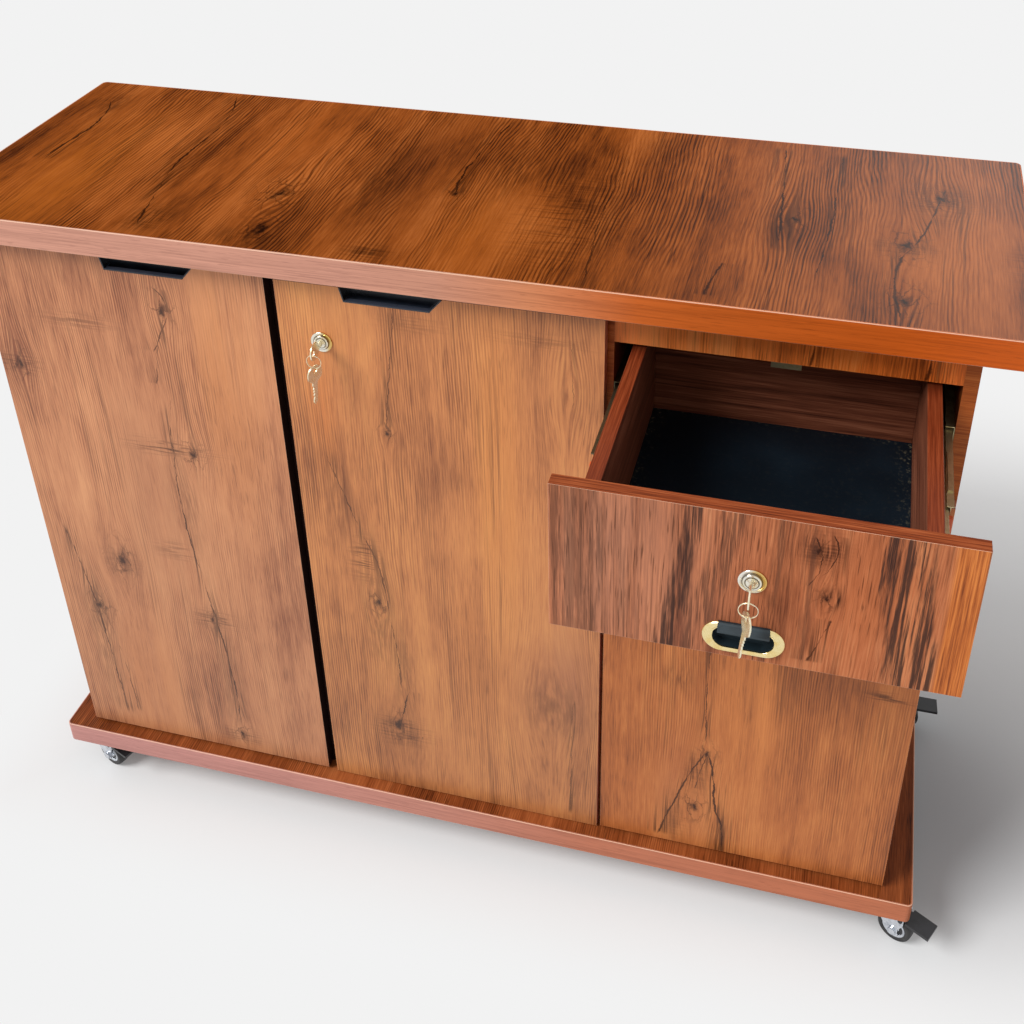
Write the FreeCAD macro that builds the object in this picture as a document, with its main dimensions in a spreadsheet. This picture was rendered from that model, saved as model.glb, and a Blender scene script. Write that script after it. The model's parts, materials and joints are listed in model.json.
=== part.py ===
import FreeCAD, Part
import os
import re
import Sketcher

# A sideboard on four braked swivel castors.
# Three bays stand between the base board and the worktop.
# Two tall doors close the left and middle bays, a lower door and a drawer the right one.
# Lengths are in millimetres, +Z is up, the doors face -Y, and X runs along the worktop.

doc = FreeCAD.newDocument("sideboard")
vec = FreeCAD.Vector

# Driving sizes

SIZES = (
    ("worktop_width", 1332, "length of the worktop over its edge band"),
    ("worktop_depth", 450, "depth of the worktop over its edge band"),
    ("worktop_thickness", 36, "thickness of the worktop"),
    ("worktop_front", 24, "worktop edge ahead of the door faces"),
    ("base_width", 1310, "length of the base board over its edge band"),
    ("base_depth", 450, "depth of the base board over its edge band"),
    ("base_thickness", 36, "thickness of the base board"),
    ("base_front", 20, "base edge ahead of the door faces"),
    ("band", 2, "thickness of the edge band"),
    ("corner", 8, "plan radius of the board corners"),
    ("arris", 0.8, "chamfer along the edge band"),
    ("castor_height", 66, "floor to base board"),
    ("carcass_width", 1230, "outside width of the carcass"),
    ("carcass_depth", 400, "depth of the side panels"),
    ("carcass_height", 882, "height of the side panels"),
    ("board", 16, "thickness of the carcass and door boards"),
    ("door_standoff", 2, "gap between closed doors and carcass"),
    ("door_reveal", 2, "door edge inside the carcass side"),
    ("left_door_width", 401.5, "width of the left door"),
    ("middle_door_width", 405.5, "width of the middle door"),
    ("pair_gap", 13.5, "gap between left and middle doors"),
    ("column_gap", 5, "gap between middle door and right column"),
    ("partition_inset", 3, "right partition left of the middle of its gap"),
    ("door_floor_gap", 4.5, "door bottom above the base board"),
    ("worktop_gap", 12, "door top below the worktop"),
    ("middle_door_drop", 3, "middle door hung lower than the left one"),
    ("drawer_top_drop", 12.5, "drawer front top below the door tops"),
    ("drawer_front_height", 180, "height of the drawer front"),
    ("front_gap", 2, "gap between drawer front and lower door"),
    ("divider_drop", 5.5, "divider top below the drawer front"),
    ("rail_height", 53, "height of the rails under the worktop"),
    ("shelf_play", 1, "play at each end of a shelf"),
    ("shelf_setback", 22, "shelf edge behind the carcass front"),
    ("pin_radius", 2.5, "shelf pin shank"),
    ("pin_head_radius", 3.5, "shelf pin head"),
    ("pin_depth", 6.8, "shelf pin shank in the board"),
    ("pin_head_length", 8, "shelf pin head length"),
    ("pin_row_setback", 37, "hole row from the board edge"),
    ("pin_pitch", 32, "spacing of the pin holes"),
    ("pin_row_start", 352, "height of the lowest pin hole"),
    ("fit", 0.05, "running clearance of a shaft in its hole, radial"),
    ("slip", 0.1, "clearance between flat fitted faces"),
    ("over", 1, "cutting tools run past a face"),
    ("screw_radius", 2.25, "assembly screw shank"),
    ("screw_head", 4.5, "assembly screw head radius"),
    ("screw_head_depth", 3, "assembly screw head depth"),
    ("screw_length", 50, "assembly screw length"),
    ("screw_point", 4, "assembly screw point"),
    ("rail_bore", 20, "depth of the head bores in the rails"),
    ("small_screw_radius", 1.75, "fixing screw shank"),
    ("small_screw_head", 3.2, "fixing screw head radius"),
    ("small_screw_head_height", 1.8, "fixing screw head height"),
    ("small_screw_length", 14, "fixing screw under its head"),
    ("small_screw_point", 3, "fixing screw point"),
    ("hinge_end", 95.5, "hinge centre from the door end"),
    ("hinge_corner", 5, "hinge axis from the door edge and face"),
    ("cup_centre", 22.5, "hinge cup centre from the door edge"),
    ("cup_radius", 17.5, "hinge cup outside radius"),
    ("cup_wall", 1, "hinge cup wall"),
    ("cup_depth", 12, "hinge cup depth in the door"),
    ("cup_floor", 1.2, "hinge cup floor"),
    ("cup_flange", 1, "hinge cup flange thickness"),
    ("cup_flange_height", 62, "hinge cup flange height"),
    ("cup_flange_width", 28, "hinge cup flange width"),
    ("cup_flange_corner", 5, "hinge cup flange corner radius"),
    ("dowel_radius", 4, "hinge cup dowel radius"),
    ("dowel_depth", 10, "hinge cup dowel depth"),
    ("dowel_spread", 24, "hinge cup dowel from the cup centre"),
    ("dowel_offset", 3, "hinge cup dowel beyond the cup centre"),
    ("pivot_across", 17.2, "link pivot from the door edge"),
    ("pivot_back", 20.5, "link pivot behind the door face"),
    ("link_length", 18.4, "link from pivot to bend"),
    ("hook_length", 10.1, "link from bend to tip"),
    ("link_thickness", 2.2, "link thickness"),
    ("link_height", 8, "link height"),
    ("link_boss", 2.5, "link boss radius"),
    ("link_pin", 1.4, "link pin radius"),
    ("hook_pin", 1.1, "radius of the pin across the hook tip"),
    ("cheek", 2, "thickness of the arm cheeks"),
    ("cheek_gap", 0.3, "gap between link and cheeks"),
    ("cheek_radius", 2.9, "arm cheek radius at the pivot"),
    ("arm_start", 27, "solid arm from the door face"),
    ("arm_end", 72, "end of the arm from the door face"),
    ("arm_width", 12.6, "width of the arm"),
    ("plate_thickness", 2, "hinge plate thickness"),
    ("plate_start", 42, "front of the hinge plate"),
    ("plate_end", 77, "back of the hinge plate"),
    ("plate_width", 22, "middle width of the hinge plate"),
    ("wing_height", 48, "height over the hinge plate wings"),
    ("wing_depth", 16, "depth of the hinge plate wings"),
    ("plate_screw_back", 57, "hinge plate screws from the door face"),
    ("plate_screw_spread", 18, "hinge plate screws from the hinge centre"),
    ("pull_width", 130, "door pull width at the door edge"),
    ("pull_left_slope", 5, "lean of the steep pull end"),
    ("pull_right_slope", 17, "lean of the sloping pull end"),
    ("pull_depth", 19.5, "door pull cut-out depth"),
    ("pull_pocket", 8.5, "depth of the pocket behind the lip"),
    ("pull_pocket_front", 5, "pocket from the door face"),
    ("pull_sheet", 1.6, "pull wall thickness"),
    ("pull_nose", 0.6, "pull lip ahead of the door face"),
    ("pull_top_drop", 1, "pull end walls below the door edge"),
    ("left_pull_start", 180.2, "left pull from the left door edge"),
    ("middle_pull_start", 83.2, "middle pull from the left door edge"),
    ("lower_pull_start", 83.2, "lower pull from the left door edge"),
    ("door_lock_across", 55.1, "door lock from the door edge"),
    ("door_lock_drop", 80.2, "door lock below the door top"),
    ("drawer_lock_across", 197.6, "drawer lock from the left edge"),
    ("drawer_lock_drop", 78.2, "drawer lock below the front top"),
    ("rosette_radius", 14, "lock rosette radius"),
    ("rosette_thickness", 2.2, "lock rosette thickness"),
    ("rosette_step_radius", 9.4, "raised lock face radius"),
    ("rosette_step", 1.4, "raised lock face height"),
    ("barrel_radius", 8.5, "lock barrel radius"),
    ("barrel_length", 19.4, "lock barrel behind the rosette"),
    ("lock_nut_radius", 11.5, "lock nut radius"),
    ("lock_nut_thickness", 2.5, "lock nut thickness"),
    ("plug_radius", 6, "lock plug radius"),
    ("plug_proud", 0.4, "lock plug ahead of the lock face"),
    ("plug_tail", 24.5, "lock plug end behind the board face"),
    ("cam_start", 20, "cam behind the board face"),
    ("cam_thickness", 2.5, "cam thickness"),
    ("cam_reach", 46, "cam tip from the lock axis"),
    ("cam_width", 12, "cam width"),
    ("key_thickness", 1.6, "key thickness"),
    ("key_blade", 7.6, "key blade width"),
    ("key_reach", 35, "key ahead of the board face"),
    ("key_bow_length", 25, "key bow length"),
    ("key_bow_width", 23, "key bow width"),
    ("key_bow_corner", 8, "key bow corner radius"),
    ("key_length", 57, "key length"),
    ("key_hole_inset", 7, "key hole from the bow end"),
    ("key_hole_radius", 3.5, "key hole radius"),
    ("keyway_play", 0.2, "play of the key blade in the plug"),
    ("ring_radius", 9.2, "key ring centre line radius"),
    ("ring_wire", 0.8, "key ring wire radius"),
    ("ring_drop", 11.6, "key ring centre below the key hole"),
    ("ring_pivot", 6, "key ring swing axis below the lock axis"),
    ("strike_width", 34, "lock strike width"),
    ("strike_thickness", 1.5, "lock strike thickness"),
    ("strike_depth", 15, "lock strike along the board"),
    ("strike_leg", 7.3, "lock strike leg below the rail"),
    ("strike_side_leg", 11, "lock strike leg beside the partition"),
    ("strike_screw_side", 11, "lock strike screw from its centre"),
    ("strike_screw_back", 9, "lock strike screw behind the carcass front"),
    ("drawer_open", 285, "drawer pulled out in the rest position"),
    ("drawer_side_gap", 20.5, "bay wall to drawer side"),
    ("drawer_side_height", 140, "height of the drawer sides"),
    ("drawer_side_lift", 4.5, "drawer side above the front bottom"),
    ("drawer_length", 379, "drawer sides behind the front"),
    ("bottom_thickness", 4, "drawer bottom thickness"),
    ("bottom_lift", 4, "drawer bottom above the side edge"),
    ("groove_depth", 6, "groove in the drawer sides"),
    ("bottom_tongue", 5.5, "drawer bottom in the grooves"),
    ("slide_height", 45, "slide outer member height"),
    ("slide_width", 12.7, "slide width"),
    ("slide_length", 300, "slide length"),
    ("slide_front", 20, "slide front behind the door faces"),
    ("slide_lift", 68, "slide centre above the drawer side edge"),
    ("slide_sheet", 1.2, "slide sheet thickness"),
    ("slide_outer_lip", 10.5, "outer member flange width"),
    ("slide_middle_start", 2.6, "middle member flange start from the wall"),
    ("slide_middle_web", 5.4, "middle member web from the wall"),
    ("slide_middle_end", 10.2, "middle member flange end from the wall"),
    ("slide_middle_height", 37.8, "middle member height"),
    ("slide_inner_start", 7.6, "inner member flange start from the wall"),
    ("slide_inner_height", 30.2, "inner member height"),
    ("slide_middle_set", 6, "middle member front behind the outer one"),
    ("runner_length", 70, "length of the bearing strips"),
    ("runner_inset", 4, "bearing strip from the member end"),
    ("slide_screw_front", 100, "front slide screw from the slide end"),
    ("slide_screw_back", 270, "rear slide screw from the slide end"),
    ("lever_head", 6, "release lever head length"),
    ("lever_head_height", 18, "release lever head height"),
    ("lever_gap", 1.3, "release lever head from the member end"),
    ("lever_reach", 20, "release lever pin behind the member end"),
    ("lever_thickness", 2.2, "release lever tail thickness"),
    ("lever_width", 8, "release lever tail width"),
    ("lever_pin", 2, "release lever pin radius"),
    ("bezel_width", 80.6, "flush pull bezel width"),
    ("bezel_height", 37, "flush pull bezel height"),
    ("bezel_thickness", 3, "flush pull bezel thickness"),
    ("bezel_opening_width", 60, "flush pull opening width"),
    ("bezel_opening_height", 26.4, "flush pull opening height"),
    ("bezel_chamfer", 1.2, "flush pull bezel chamfer"),
    ("bezel_across", 193.9, "flush pull centre from the left edge"),
    ("bezel_lift", 26, "flush pull centre above the front bottom"),
    ("insert_wall", 1.6, "flush pull cup wall"),
    ("insert_depth", 12.5, "flush pull cup depth"),
    ("hood_left", 22.4, "hood left of the pull centre"),
    ("hood_right", 25.3, "hood right of the pull centre"),
    ("hood_reach", 10, "hood ahead of the drawer front"),
    ("hood_thickness", 3.2, "hood thickness at its root"),
    ("hood_rise", 18.5, "hood top above the pull centre"),
    ("hood_edge_rise", 13.6, "hood front edge above the pull centre"),
    ("hood_edge", 2.4, "hood front edge thickness"),
    ("castor_side", 33, "castor axis from the base side edge"),
    ("castor_end", 35, "castor axis from the base front and back edge"),
    ("castor_trail", 22, "wheel axle behind the swivel axis"),
    ("wheel_radius", 25, "castor wheel radius"),
    ("wheel_width", 18, "castor wheel width"),
    ("tread_round", 3, "castor tread edge radius"),
    ("hub_radius", 17, "wheel hub disc radius"),
    ("hub_recess", 1.5, "wheel side recess"),
    ("axle_radius", 4, "castor axle radius"),
    ("axle_head", 6, "castor axle head radius"),
    ("axle_head_height", 3, "castor axle head height"),
    ("castor_plate_long", 60, "castor plate length"),
    ("castor_plate_wide", 46, "castor plate width"),
    ("castor_plate", 2.5, "castor plate thickness"),
    ("castor_hole_long", 23, "castor screw from the axis, along"),
    ("castor_hole_wide", 16, "castor screw from the axis, across"),
    ("race_radius", 15, "swivel race radius"),
    ("race_height", 3, "swivel race height"),
    ("race_gap", 0.3, "gap in the swivel race"),
    ("kingpin_radius", 4, "kingpin radius"),
    ("kingpin_head", 7, "kingpin head radius"),
    ("kingpin_head_height", 2.5, "kingpin head height"),
    ("fork_disc", 19, "fork crown radius"),
    ("fork_sheet", 2.5, "fork sheet thickness"),
    ("fork_inside", 21, "fork inside width"),
    ("fork_eye", 8, "fork eye radius"),
    ("fork_nose", 12, "fork leg ahead of the swivel axis"),
    ("fork_tail", 36, "fork leg end behind the swivel axis"),
    ("fork_cheek", 8, "fork leg depth under the pedal pin"),
    ("pedal_pin_back", 31, "pedal pin behind the swivel axis"),
    ("pedal_pin_drop", 13, "pedal pin below the base board"),
    ("pedal_pin", 2, "pedal pin radius"),
    ("pedal_pin_head", 3.2, "pedal pin head radius"),
    ("pedal_pin_head_height", 1.2, "pedal pin head height"),
    ("pedal_reach", 73.7, "pedal end behind the swivel axis"),
    ("pedal_width", 28, "pedal width"),
    ("pedal_neck", 19, "pedal width between the fork legs"),
    ("pedal_pad_start", 39, "pedal pad from the swivel axis"),
    ("pedal_top", 9, "pedal top below the base board"),
    ("pedal_end_top", 11, "pedal end top below the base board"),
    ("pedal_end_bottom", 15.5, "pedal end underside below the base board"),
    ("pedal_under", 14, "pedal underside below the base board"),
    ("pedal_shoe", 14.8, "brake shoe below the base board"),
)

# Angles in degrees and plain shares of a length

ANGLES = (
    ("link_angle", -8.7, "closed hinge link from the width direction"),
    ("hook_angle", -78.5, "bend in the hinge link"),
    ("front_right_turn", -27, "castor turned about its swivel"),
    ("back_right_turn", 3, "castor turned about its swivel"),
    ("front_left_turn", -20, "castor turned about its swivel"),
    ("back_left_turn", -12, "castor turned about its swivel"),
    ("key_tilt", 5, "spare key leaning off the plumb line"),
    ("middle_share", 0.5, "share of the drawer travel made by the middle slide member"),
    ("dome_share", 0.7, "share of a screw head radius that is flat on top"),
    ("tread_corner_share", 0.3, "share of the tread rounding at its mid facet"),
)

sheet = doc.addObject("Spreadsheet::Sheet", "sizes")
for row, (name, number, meaning) in enumerate(SIZES + ANGLES, 1):
    sheet.set(f"A{row}", name)
    sheet.set(f"B{row}", str(number))
    sheet.set(f"C{row}", meaning)
    sheet.setAlias(f"B{row}", name)
doc.recompute()

# Places that follow from the sizes

PLACES = (
    ("side", "carcass_width / 2"),
    ("inside", "side - board"),
    ("door_left", "door_reveal - side"),
    ("left_door_end", "door_left + left_door_width"),
    ("middle_door_start", "left_door_end + pair_gap"),
    ("middle_door_end", "middle_door_start + middle_door_width"),
    ("column_start", "middle_door_end + column_gap"),
    ("column_end", "side - door_reveal"),
    ("left_partition", "(left_door_end + middle_door_start) / 2"),
    ("right_partition", "(middle_door_end + column_start) / 2 - partition_inset"),
    ("left_bay_end", "left_partition - board / 2"),
    ("middle_bay_start", "left_partition + board / 2"),
    ("middle_bay_end", "right_partition - board / 2"),
    ("right_bay_start", "right_partition + board / 2"),
    ("front", "board + door_standoff"),
    ("rear", "front + carcass_depth"),
    ("back_face", "rear - board"),
    ("door_bottom", "door_floor_gap"),
    ("door_top", "carcass_height - worktop_gap"),
    ("middle_bottom", "door_bottom - middle_door_drop"),
    ("middle_top", "door_top - middle_door_drop"),
    ("drawer_top", "door_top - drawer_top_drop"),
    ("drawer_bottom_edge", "drawer_top - drawer_front_height"),
    ("lower_top", "drawer_bottom_edge - front_gap"),
    ("divider_top", "drawer_bottom_edge - divider_drop"),
    ("rail_bottom", "carcass_height - rail_height"),
    ("worktop_back", "worktop_depth - worktop_front"),
    ("base_back", "base_depth - base_front"),
    ("drawer_face", "-drawer_open"),
    ("drawer_inside", "board - drawer_open"),
    ("drawer_end", "drawer_inside + drawer_length"),
    ("drawer_side_left", "right_bay_start + drawer_side_gap"),
    ("drawer_side_right", "inside - drawer_side_gap"),
    ("drawer_floor", "drawer_bottom_edge + drawer_side_lift"),
    ("drawer_rim", "drawer_floor + drawer_side_height"),
    ("slide_centre", "drawer_floor + slide_lift"),
    ("bottom_under", "drawer_floor + bottom_lift"),
    ("bottom_over", "bottom_under + bottom_thickness"),
    ("door_lock_x", "middle_door_start + door_lock_across"),
    ("door_lock_z", "middle_top - door_lock_drop"),
    ("drawer_lock_x", "column_start + drawer_lock_across"),
    ("drawer_lock_z", "drawer_top - drawer_lock_drop"),
    ("bezel_x", "column_start + bezel_across"),
    ("bezel_z", "drawer_bottom_edge + bezel_lift"),
    ("castor_x", "base_width / 2 - castor_side"),
    ("castor_front", "castor_end - base_front"),
    ("castor_back", "base_back - castor_end"),
    ("reach_right", "castor_x + pedal_reach * cos(back_right_turn) + pedal_width / 2 * sin(back_right_turn)"),
    ("move_x", "(worktop_width / 2 - reach_right) / 2"),
    ("move_y", "(drawer_open + key_reach - key_hole_inset + key_bow_width / 2 - base_back) / 2"),
    ("move_z", "castor_height + base_thickness"),
)

layout = doc.addObject("App::VarSet", "layout")
sheet_names = {entry[0] for entry in SIZES + ANGLES}
place_names = {entry[0] for entry in PLACES}


def words(rule):
    """Point each name in a rule at the sheet or at the derived places."""
    def owner(match):
        word = match.group(0)
        if word in sheet_names:
            return "sizes." + word
        if word in place_names:
            return "layout." + word
        return word
    return re.sub(r"[a-z_][a-z_0-9]*", owner, rule)


for name, rule in PLACES:
    layout.addProperty("App::PropertyFloat", name, "places", "")
    layout.setExpression(name, words(rule))
    doc.recompute()


def number(rule):
    """Present value of a rule."""
    return float(sheet.evalExpression(words(rule)))


def bind(item, prop, rule):
    """Drive one property by a rule."""
    item.setExpression(prop, words(str(rule)))


counts = {}


def fresh(kind):
    """A new object name of the given kind."""
    counts[kind] = counts.get(kind, 0) + 1
    return f"{kind}_{counts[kind]}"


TURNS = {
    "+z": FreeCAD.Rotation(),
    "-z": FreeCAD.Rotation(vec(1, 0, 0), 180),
    "+x": FreeCAD.Rotation(vec(0, 1, 0), 90),
    "-x": FreeCAD.Rotation(vec(0, 1, 0), -90),
    "+y": FreeCAD.Rotation(vec(1, 0, 0), -90),
    "-y": FreeCAD.Rotation(vec(1, 0, 0), 90),
}


def put(item, x, y, z, rotation=None):
    """Place an item by three rules and an optional fixed rotation."""
    if rotation is not None:
        item.Placement = FreeCAD.Placement(vec(0, 0, 0), rotation)
    for axis, rule in zip("xyz", (x, y, z)):
        bind(item, f"Placement.Base.{axis}", rule)
    return item


def box(x, y, z):
    """A block between a low and a high rule along each axis."""
    item = doc.addObject("Part::Box", fresh("block"))
    for prop, (low, high) in zip(("Length", "Width", "Height"), (x, y, z)):
        bind(item, prop, f"({high}) - ({low})")
    return put(item, x[0], y[0], z[0])


def rod(radius, length, x, y, z, way="+z"):
    """A cylinder from a point along one of the axes."""
    item = doc.addObject("Part::Cylinder", fresh("rod"))
    bind(item, "Radius", radius)
    bind(item, "Height", length)
    return put(item, x, y, z, TURNS[way])


def fuse(items):
    item = doc.addObject("Part::MultiFuse", fresh("join"))
    item.Shapes = items
    return item


def group(items):
    item = doc.addObject("Part::Compound", fresh("group"))
    item.Links = items
    return item


def cut(base, tools):
    """A base less a list of tools that do not overlap each other."""
    item = doc.addObject("Part::Cut", fresh("less"))
    item.Base = base
    item.Tool = tools[0] if len(tools) == 1 else group(tools)
    return item


def copy(source, x, y, z, rotation=None):
    """A linked copy of a shape at another place."""
    item = doc.addObject("App::Link", fresh("copy"))
    item.LinkedObject = source
    return put(item, x, y, z, rotation)


# Sketched bodies

PLANES = {"xy": "XY_Plane", "xz": "XZ_Plane", "yz": "YZ_Plane"}


def new_body():
    return doc.addObject("PartDesign::Body", fresh("body"))


def new_sketch(body, plane, level):
    """A sketch on an origin plane of its body, moved off it by a rule."""
    sketch = body.newObject("Sketcher::SketchObject", fresh("sketch"))
    origin = [entry for entry in body.Origin.OriginFeatures if entry.Role == PLANES[plane]][0]
    sketch.AttachmentSupport = [(origin, "")]
    sketch.MapMode = "FlatFace"
    bind(sketch, "AttachmentOffset.Base.z", level)
    return sketch


def pin_point(sketch, geometry, point, rule_x, rule_y):
    """Hold one sketch point at two rules from the sketch origin."""
    for kind, rule in (("DistanceX", rule_x), ("DistanceY", rule_y)):
        index = sketch.addConstraint(Sketcher.Constraint(kind, -1, 1, geometry, point, number(rule)))
        bind(sketch, f"Constraints[{index}]", rule)


def outline(sketch, points):
    """A closed polygon with every corner held by rules."""
    at = [vec(number(x), number(y), 0) for x, y in points]
    first = sketch.GeometryCount
    for index, point in enumerate(at):
        sketch.addGeometry(Part.LineSegment(point, at[(index + 1) % len(at)]), False)
    for index in range(len(at)):
        after = (index + 1) % len(at)
        sketch.addConstraint(Sketcher.Constraint("Coincident", first + index, 2, first + after, 1))
    for index, (x, y) in enumerate(points):
        pin_point(sketch, first + index, 1, x, y)


def ring_line(sketch, x, y, radius):
    """A circle held by its centre and radius."""
    circle = Part.Circle(vec(number(x), number(y), 0), vec(0, 0, 1), number(radius))
    index = sketch.addGeometry(circle, False)
    pin_point(sketch, index, 3, x, y)
    held = sketch.addConstraint(Sketcher.Constraint("Radius", index, number(radius)))
    bind(sketch, f"Constraints[{held}]", radius)


def pad(body, plane, span, points=(), circles=()):
    """Material between two rules along the normal of a plane."""
    return feature(body, "PartDesign::Pad", plane, span, points, circles)


def pocket(body, plane, span, points=(), circles=()):
    """A cut between two rules along the normal of a plane."""
    return feature(body, "PartDesign::Pocket", plane, span, points, circles)


def feature(body, kind, plane, span, points, circles):
    low, high = span
    level = f"-({high})" if plane == "xz" else low
    sketch = new_sketch(body, plane, level)
    if points:
        outline(sketch, points)
    for x, y, radius in circles:
        ring_line(sketch, x, y, radius)
    doc.recompute()
    before = body.Shape.Volume if kind.endswith("Pocket") else 0
    item = body.newObject(kind, fresh(kind.split("::")[1].lower()))
    item.Profile = sketch
    bind(item, "Length", f"({high}) - ({low})")
    if kind.endswith("Pocket"):
        item.Reversed = True
    sketch.Visibility = False
    doc.recompute()
    if kind.endswith("Pocket") and not body.Shape.Volume < before:
        raise ValueError(f"{item.Name} removes nothing")
    return item


def turned(points, axis="V_Axis"):
    """A body of revolution about the z axis from radius and height rules."""
    body = new_body()
    sketch = new_sketch(body, "xz", "0")
    outline(sketch, points)
    item = body.newObject("PartDesign::Revolution", fresh("revolution"))
    item.Profile = sketch
    item.ReferenceAxis = (sketch, [axis])
    item.Angle = 360
    sketch.Visibility = False
    doc.recompute()
    return body


def soften(body, kind, size, wanted):
    """Round or bevel the edges whose middle point and direction pass a test."""
    base = body.Tip
    names = []
    for index, edge in enumerate(base.Shape.Edges, 1):
        middle = edge.valueAt((edge.FirstParameter + edge.LastParameter) / 2)
        along = edge.tangentAt((edge.FirstParameter + edge.LastParameter) / 2)
        if wanted(middle, along, edge):
            names.append(f"Edge{index}")
    if not names:
        raise ValueError(f"no edge found on {body.Name}")
    item = body.newObject(f"PartDesign::{kind}", fresh(kind.lower()))
    item.Base = (base, names)
    bind(item, "Radius" if kind == "Fillet" else "Size", size)
    doc.recompute()
    return item


def near(value, rule):
    return abs(value - number(rule)) < 1e-4


def upright(middle, along, edge):
    return abs(along.z) > 0.999


def crosswise(middle, along, edge):
    return abs(along.y) > 0.999


# Finished nodes

nodes = []


def node(name, item):
    """Give a finished piece its name and move it into the shared frame."""
    if item.TypeId == "PartDesign::Body" or item.TypeId == "App::Link" or item.TypeId.startswith("Part::Box"):
        item = group([item])
    item.Label = name
    put(item, "move_x", "move_y", "move_z")
    nodes.append(item)
    return item


# Screws and the drills that clear them

screw = turned((
    ("0", "0"),
    ("screw_head", "0"),
    ("screw_radius", "screw_head_depth"),
    ("screw_radius", "screw_length - screw_point"),
    ("0", "screw_length"),
))
drill = turned((
    ("0", "-rail_bore - over"),
    ("screw_head + fit", "-rail_bore - over"),
    ("screw_head + fit", "0"),
    ("screw_radius + fit", "screw_head_depth"),
    ("screw_radius + fit", "screw_length + fit"),
    ("0", "screw_length + fit"),
))
small_screw = turned((
    ("0", "-small_screw_head_height"),
    ("small_screw_head * dome_share", "-small_screw_head_height"),
    ("small_screw_head", "-small_screw_head_height / 2"),
    ("small_screw_head", "0"),
    ("small_screw_radius", "0"),
    ("small_screw_radius", "small_screw_length - small_screw_point"),
    ("0", "small_screw_length"),
))
small_drill = turned((
    ("0", "-over"),
    ("small_screw_radius + fit", "-over"),
    ("small_screw_radius + fit", "small_screw_length + fit"),
    ("0", "small_screw_length + fit"),
))

screws = []
small_screws = []


def screw_at(x, y, z, way):
    """An assembly screw at a place, and the drill for the boards it joins."""
    screws.append(copy(screw, x, y, z, TURNS[way]))
    return lambda: copy(drill, x, y, z, TURNS[way])


def small_at(x, y, z, way):
    """A fixing screw under its head at a place, and its drill."""
    small_screws.append(copy(small_screw, x, y, z, TURNS[way]))
    return lambda: copy(small_drill, x, y, z, TURNS[way])


rail_middle = "front + board / 2"
back_middle = "back_face + board / 2"
upright_middles = ("board / 2 - side", "left_partition", "right_partition", "side - board / 2")

# Where screws sit along a board, as shares of its length
back_screw_shares = (0.1, 0.36, 0.64, 0.9)
divider_screw_shares = (0.15, 0.8)
base_screw_shares = (0.11, 0.85)
base_back_screw_shares = (-0.32, 0.02, 0.33)
rail_screw_shares = (0.2, 0.8)

left_rail_screw = screw_at("-side", rail_middle, "carcass_height - rail_height / 2", "+x")
right_rail_screw = screw_at("side", rail_middle, "carcass_height - rail_height / 2", "-x")
back_heights = [f"carcass_height * {share}" for share in back_screw_shares]
left_back_screws = [screw_at("-side", back_middle, height, "+x") for height in back_heights]
right_back_screws = [screw_at("side", back_middle, height, "-x") for height in back_heights]
divider_depths = [f"front + carcass_depth * {share}" for share in divider_screw_shares]
divider_middle = "divider_top - board / 2"
right_divider_screws = [screw_at("side", depth, divider_middle, "-x") for depth in divider_depths]
left_divider_screws = [screw_at("middle_bay_end", depth, divider_middle, "+x") for depth in divider_depths]
base_depths = [f"front + carcass_depth * {share}" for share in base_screw_shares]
base_screws = [
    [screw_at(middle, depth, "-base_thickness", "+z") for depth in base_depths]
    for middle in upright_middles
]
base_back_screws = [
    screw_at(f"carcass_width * {share}", back_middle, "-base_thickness", "+z")
    for share in base_back_screw_shares
]
bays = (
    ("-inside", "left_bay_end"),
    ("middle_bay_start", "middle_bay_end"),
    ("right_bay_start", "inside"),
)
rail_screws = [
    [
        screw_at(f"({low}) + (({high}) - ({low})) * {share}", rail_middle, "rail_bottom + rail_bore", "+z")
        for share in rail_screw_shares
    ]
    for low, high in bays
]

# Worktop and base board with their edge bands


def banded_board(x, front_rule, back_rule, low, high, drills):
    """A board and the band glued round its edge."""
    inner_x = f"{x} - band"
    panel = new_body()
    pad(panel, "xy", (low, high), (
        (f"-({inner_x})", f"{front_rule} + band"),
        (inner_x, f"{front_rule} + band"),
        (inner_x, f"{back_rule} - band"),
        (f"-({inner_x})", f"{back_rule} - band"),
    ))
    soften(panel, "Fillet", "corner - band", upright)
    ring = new_body()
    pad(ring, "xy", (low, high), (
        (f"-({x})", front_rule),
        (x, front_rule),
        (x, back_rule),
        (f"-({x})", back_rule),
    ))
    soften(ring, "Fillet", "corner", upright)
    soften(ring, "Chamfer", "arris", lambda middle, along, edge: abs(along.z) < 1e-6)
    return cut(panel, drills), cut(ring, [panel])


castor_spots = {
    "front_right": ("castor_x", "castor_front"),
    "back_right": ("castor_x", "castor_back"),
    "front_left": ("-castor_x", "castor_front"),
    "back_left": ("-castor_x", "castor_back"),
}
castor_screws = [
    small_at(f"({x}) + {along} * castor_hole_long", f"({y}) + {across} * castor_hole_wide",
             "-base_thickness - castor_plate", "+z")
    for x, y in castor_spots.values() for along in (-1, 1) for across in (-1, 1)
]

worktop, worktop_band = banded_board(
    "worktop_width / 2", "-worktop_front", "worktop_back",
    "carcass_height", "carcass_height + worktop_thickness",
    [make() for pair in rail_screws for make in pair])
base, base_band = banded_board(
    "base_width / 2", "-base_front", "base_back", "-base_thickness", "0",
    [make() for pair in base_screws for make in pair]
    + [make() for make in base_back_screws] + [make() for make in castor_screws])
node("worktop_panel", worktop)
node("base_panel", base)
node("worktop_edge_band", worktop_band)
node("base_edge_band", base_band)

# Hinge heights of each door and the screws of their plates

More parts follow.
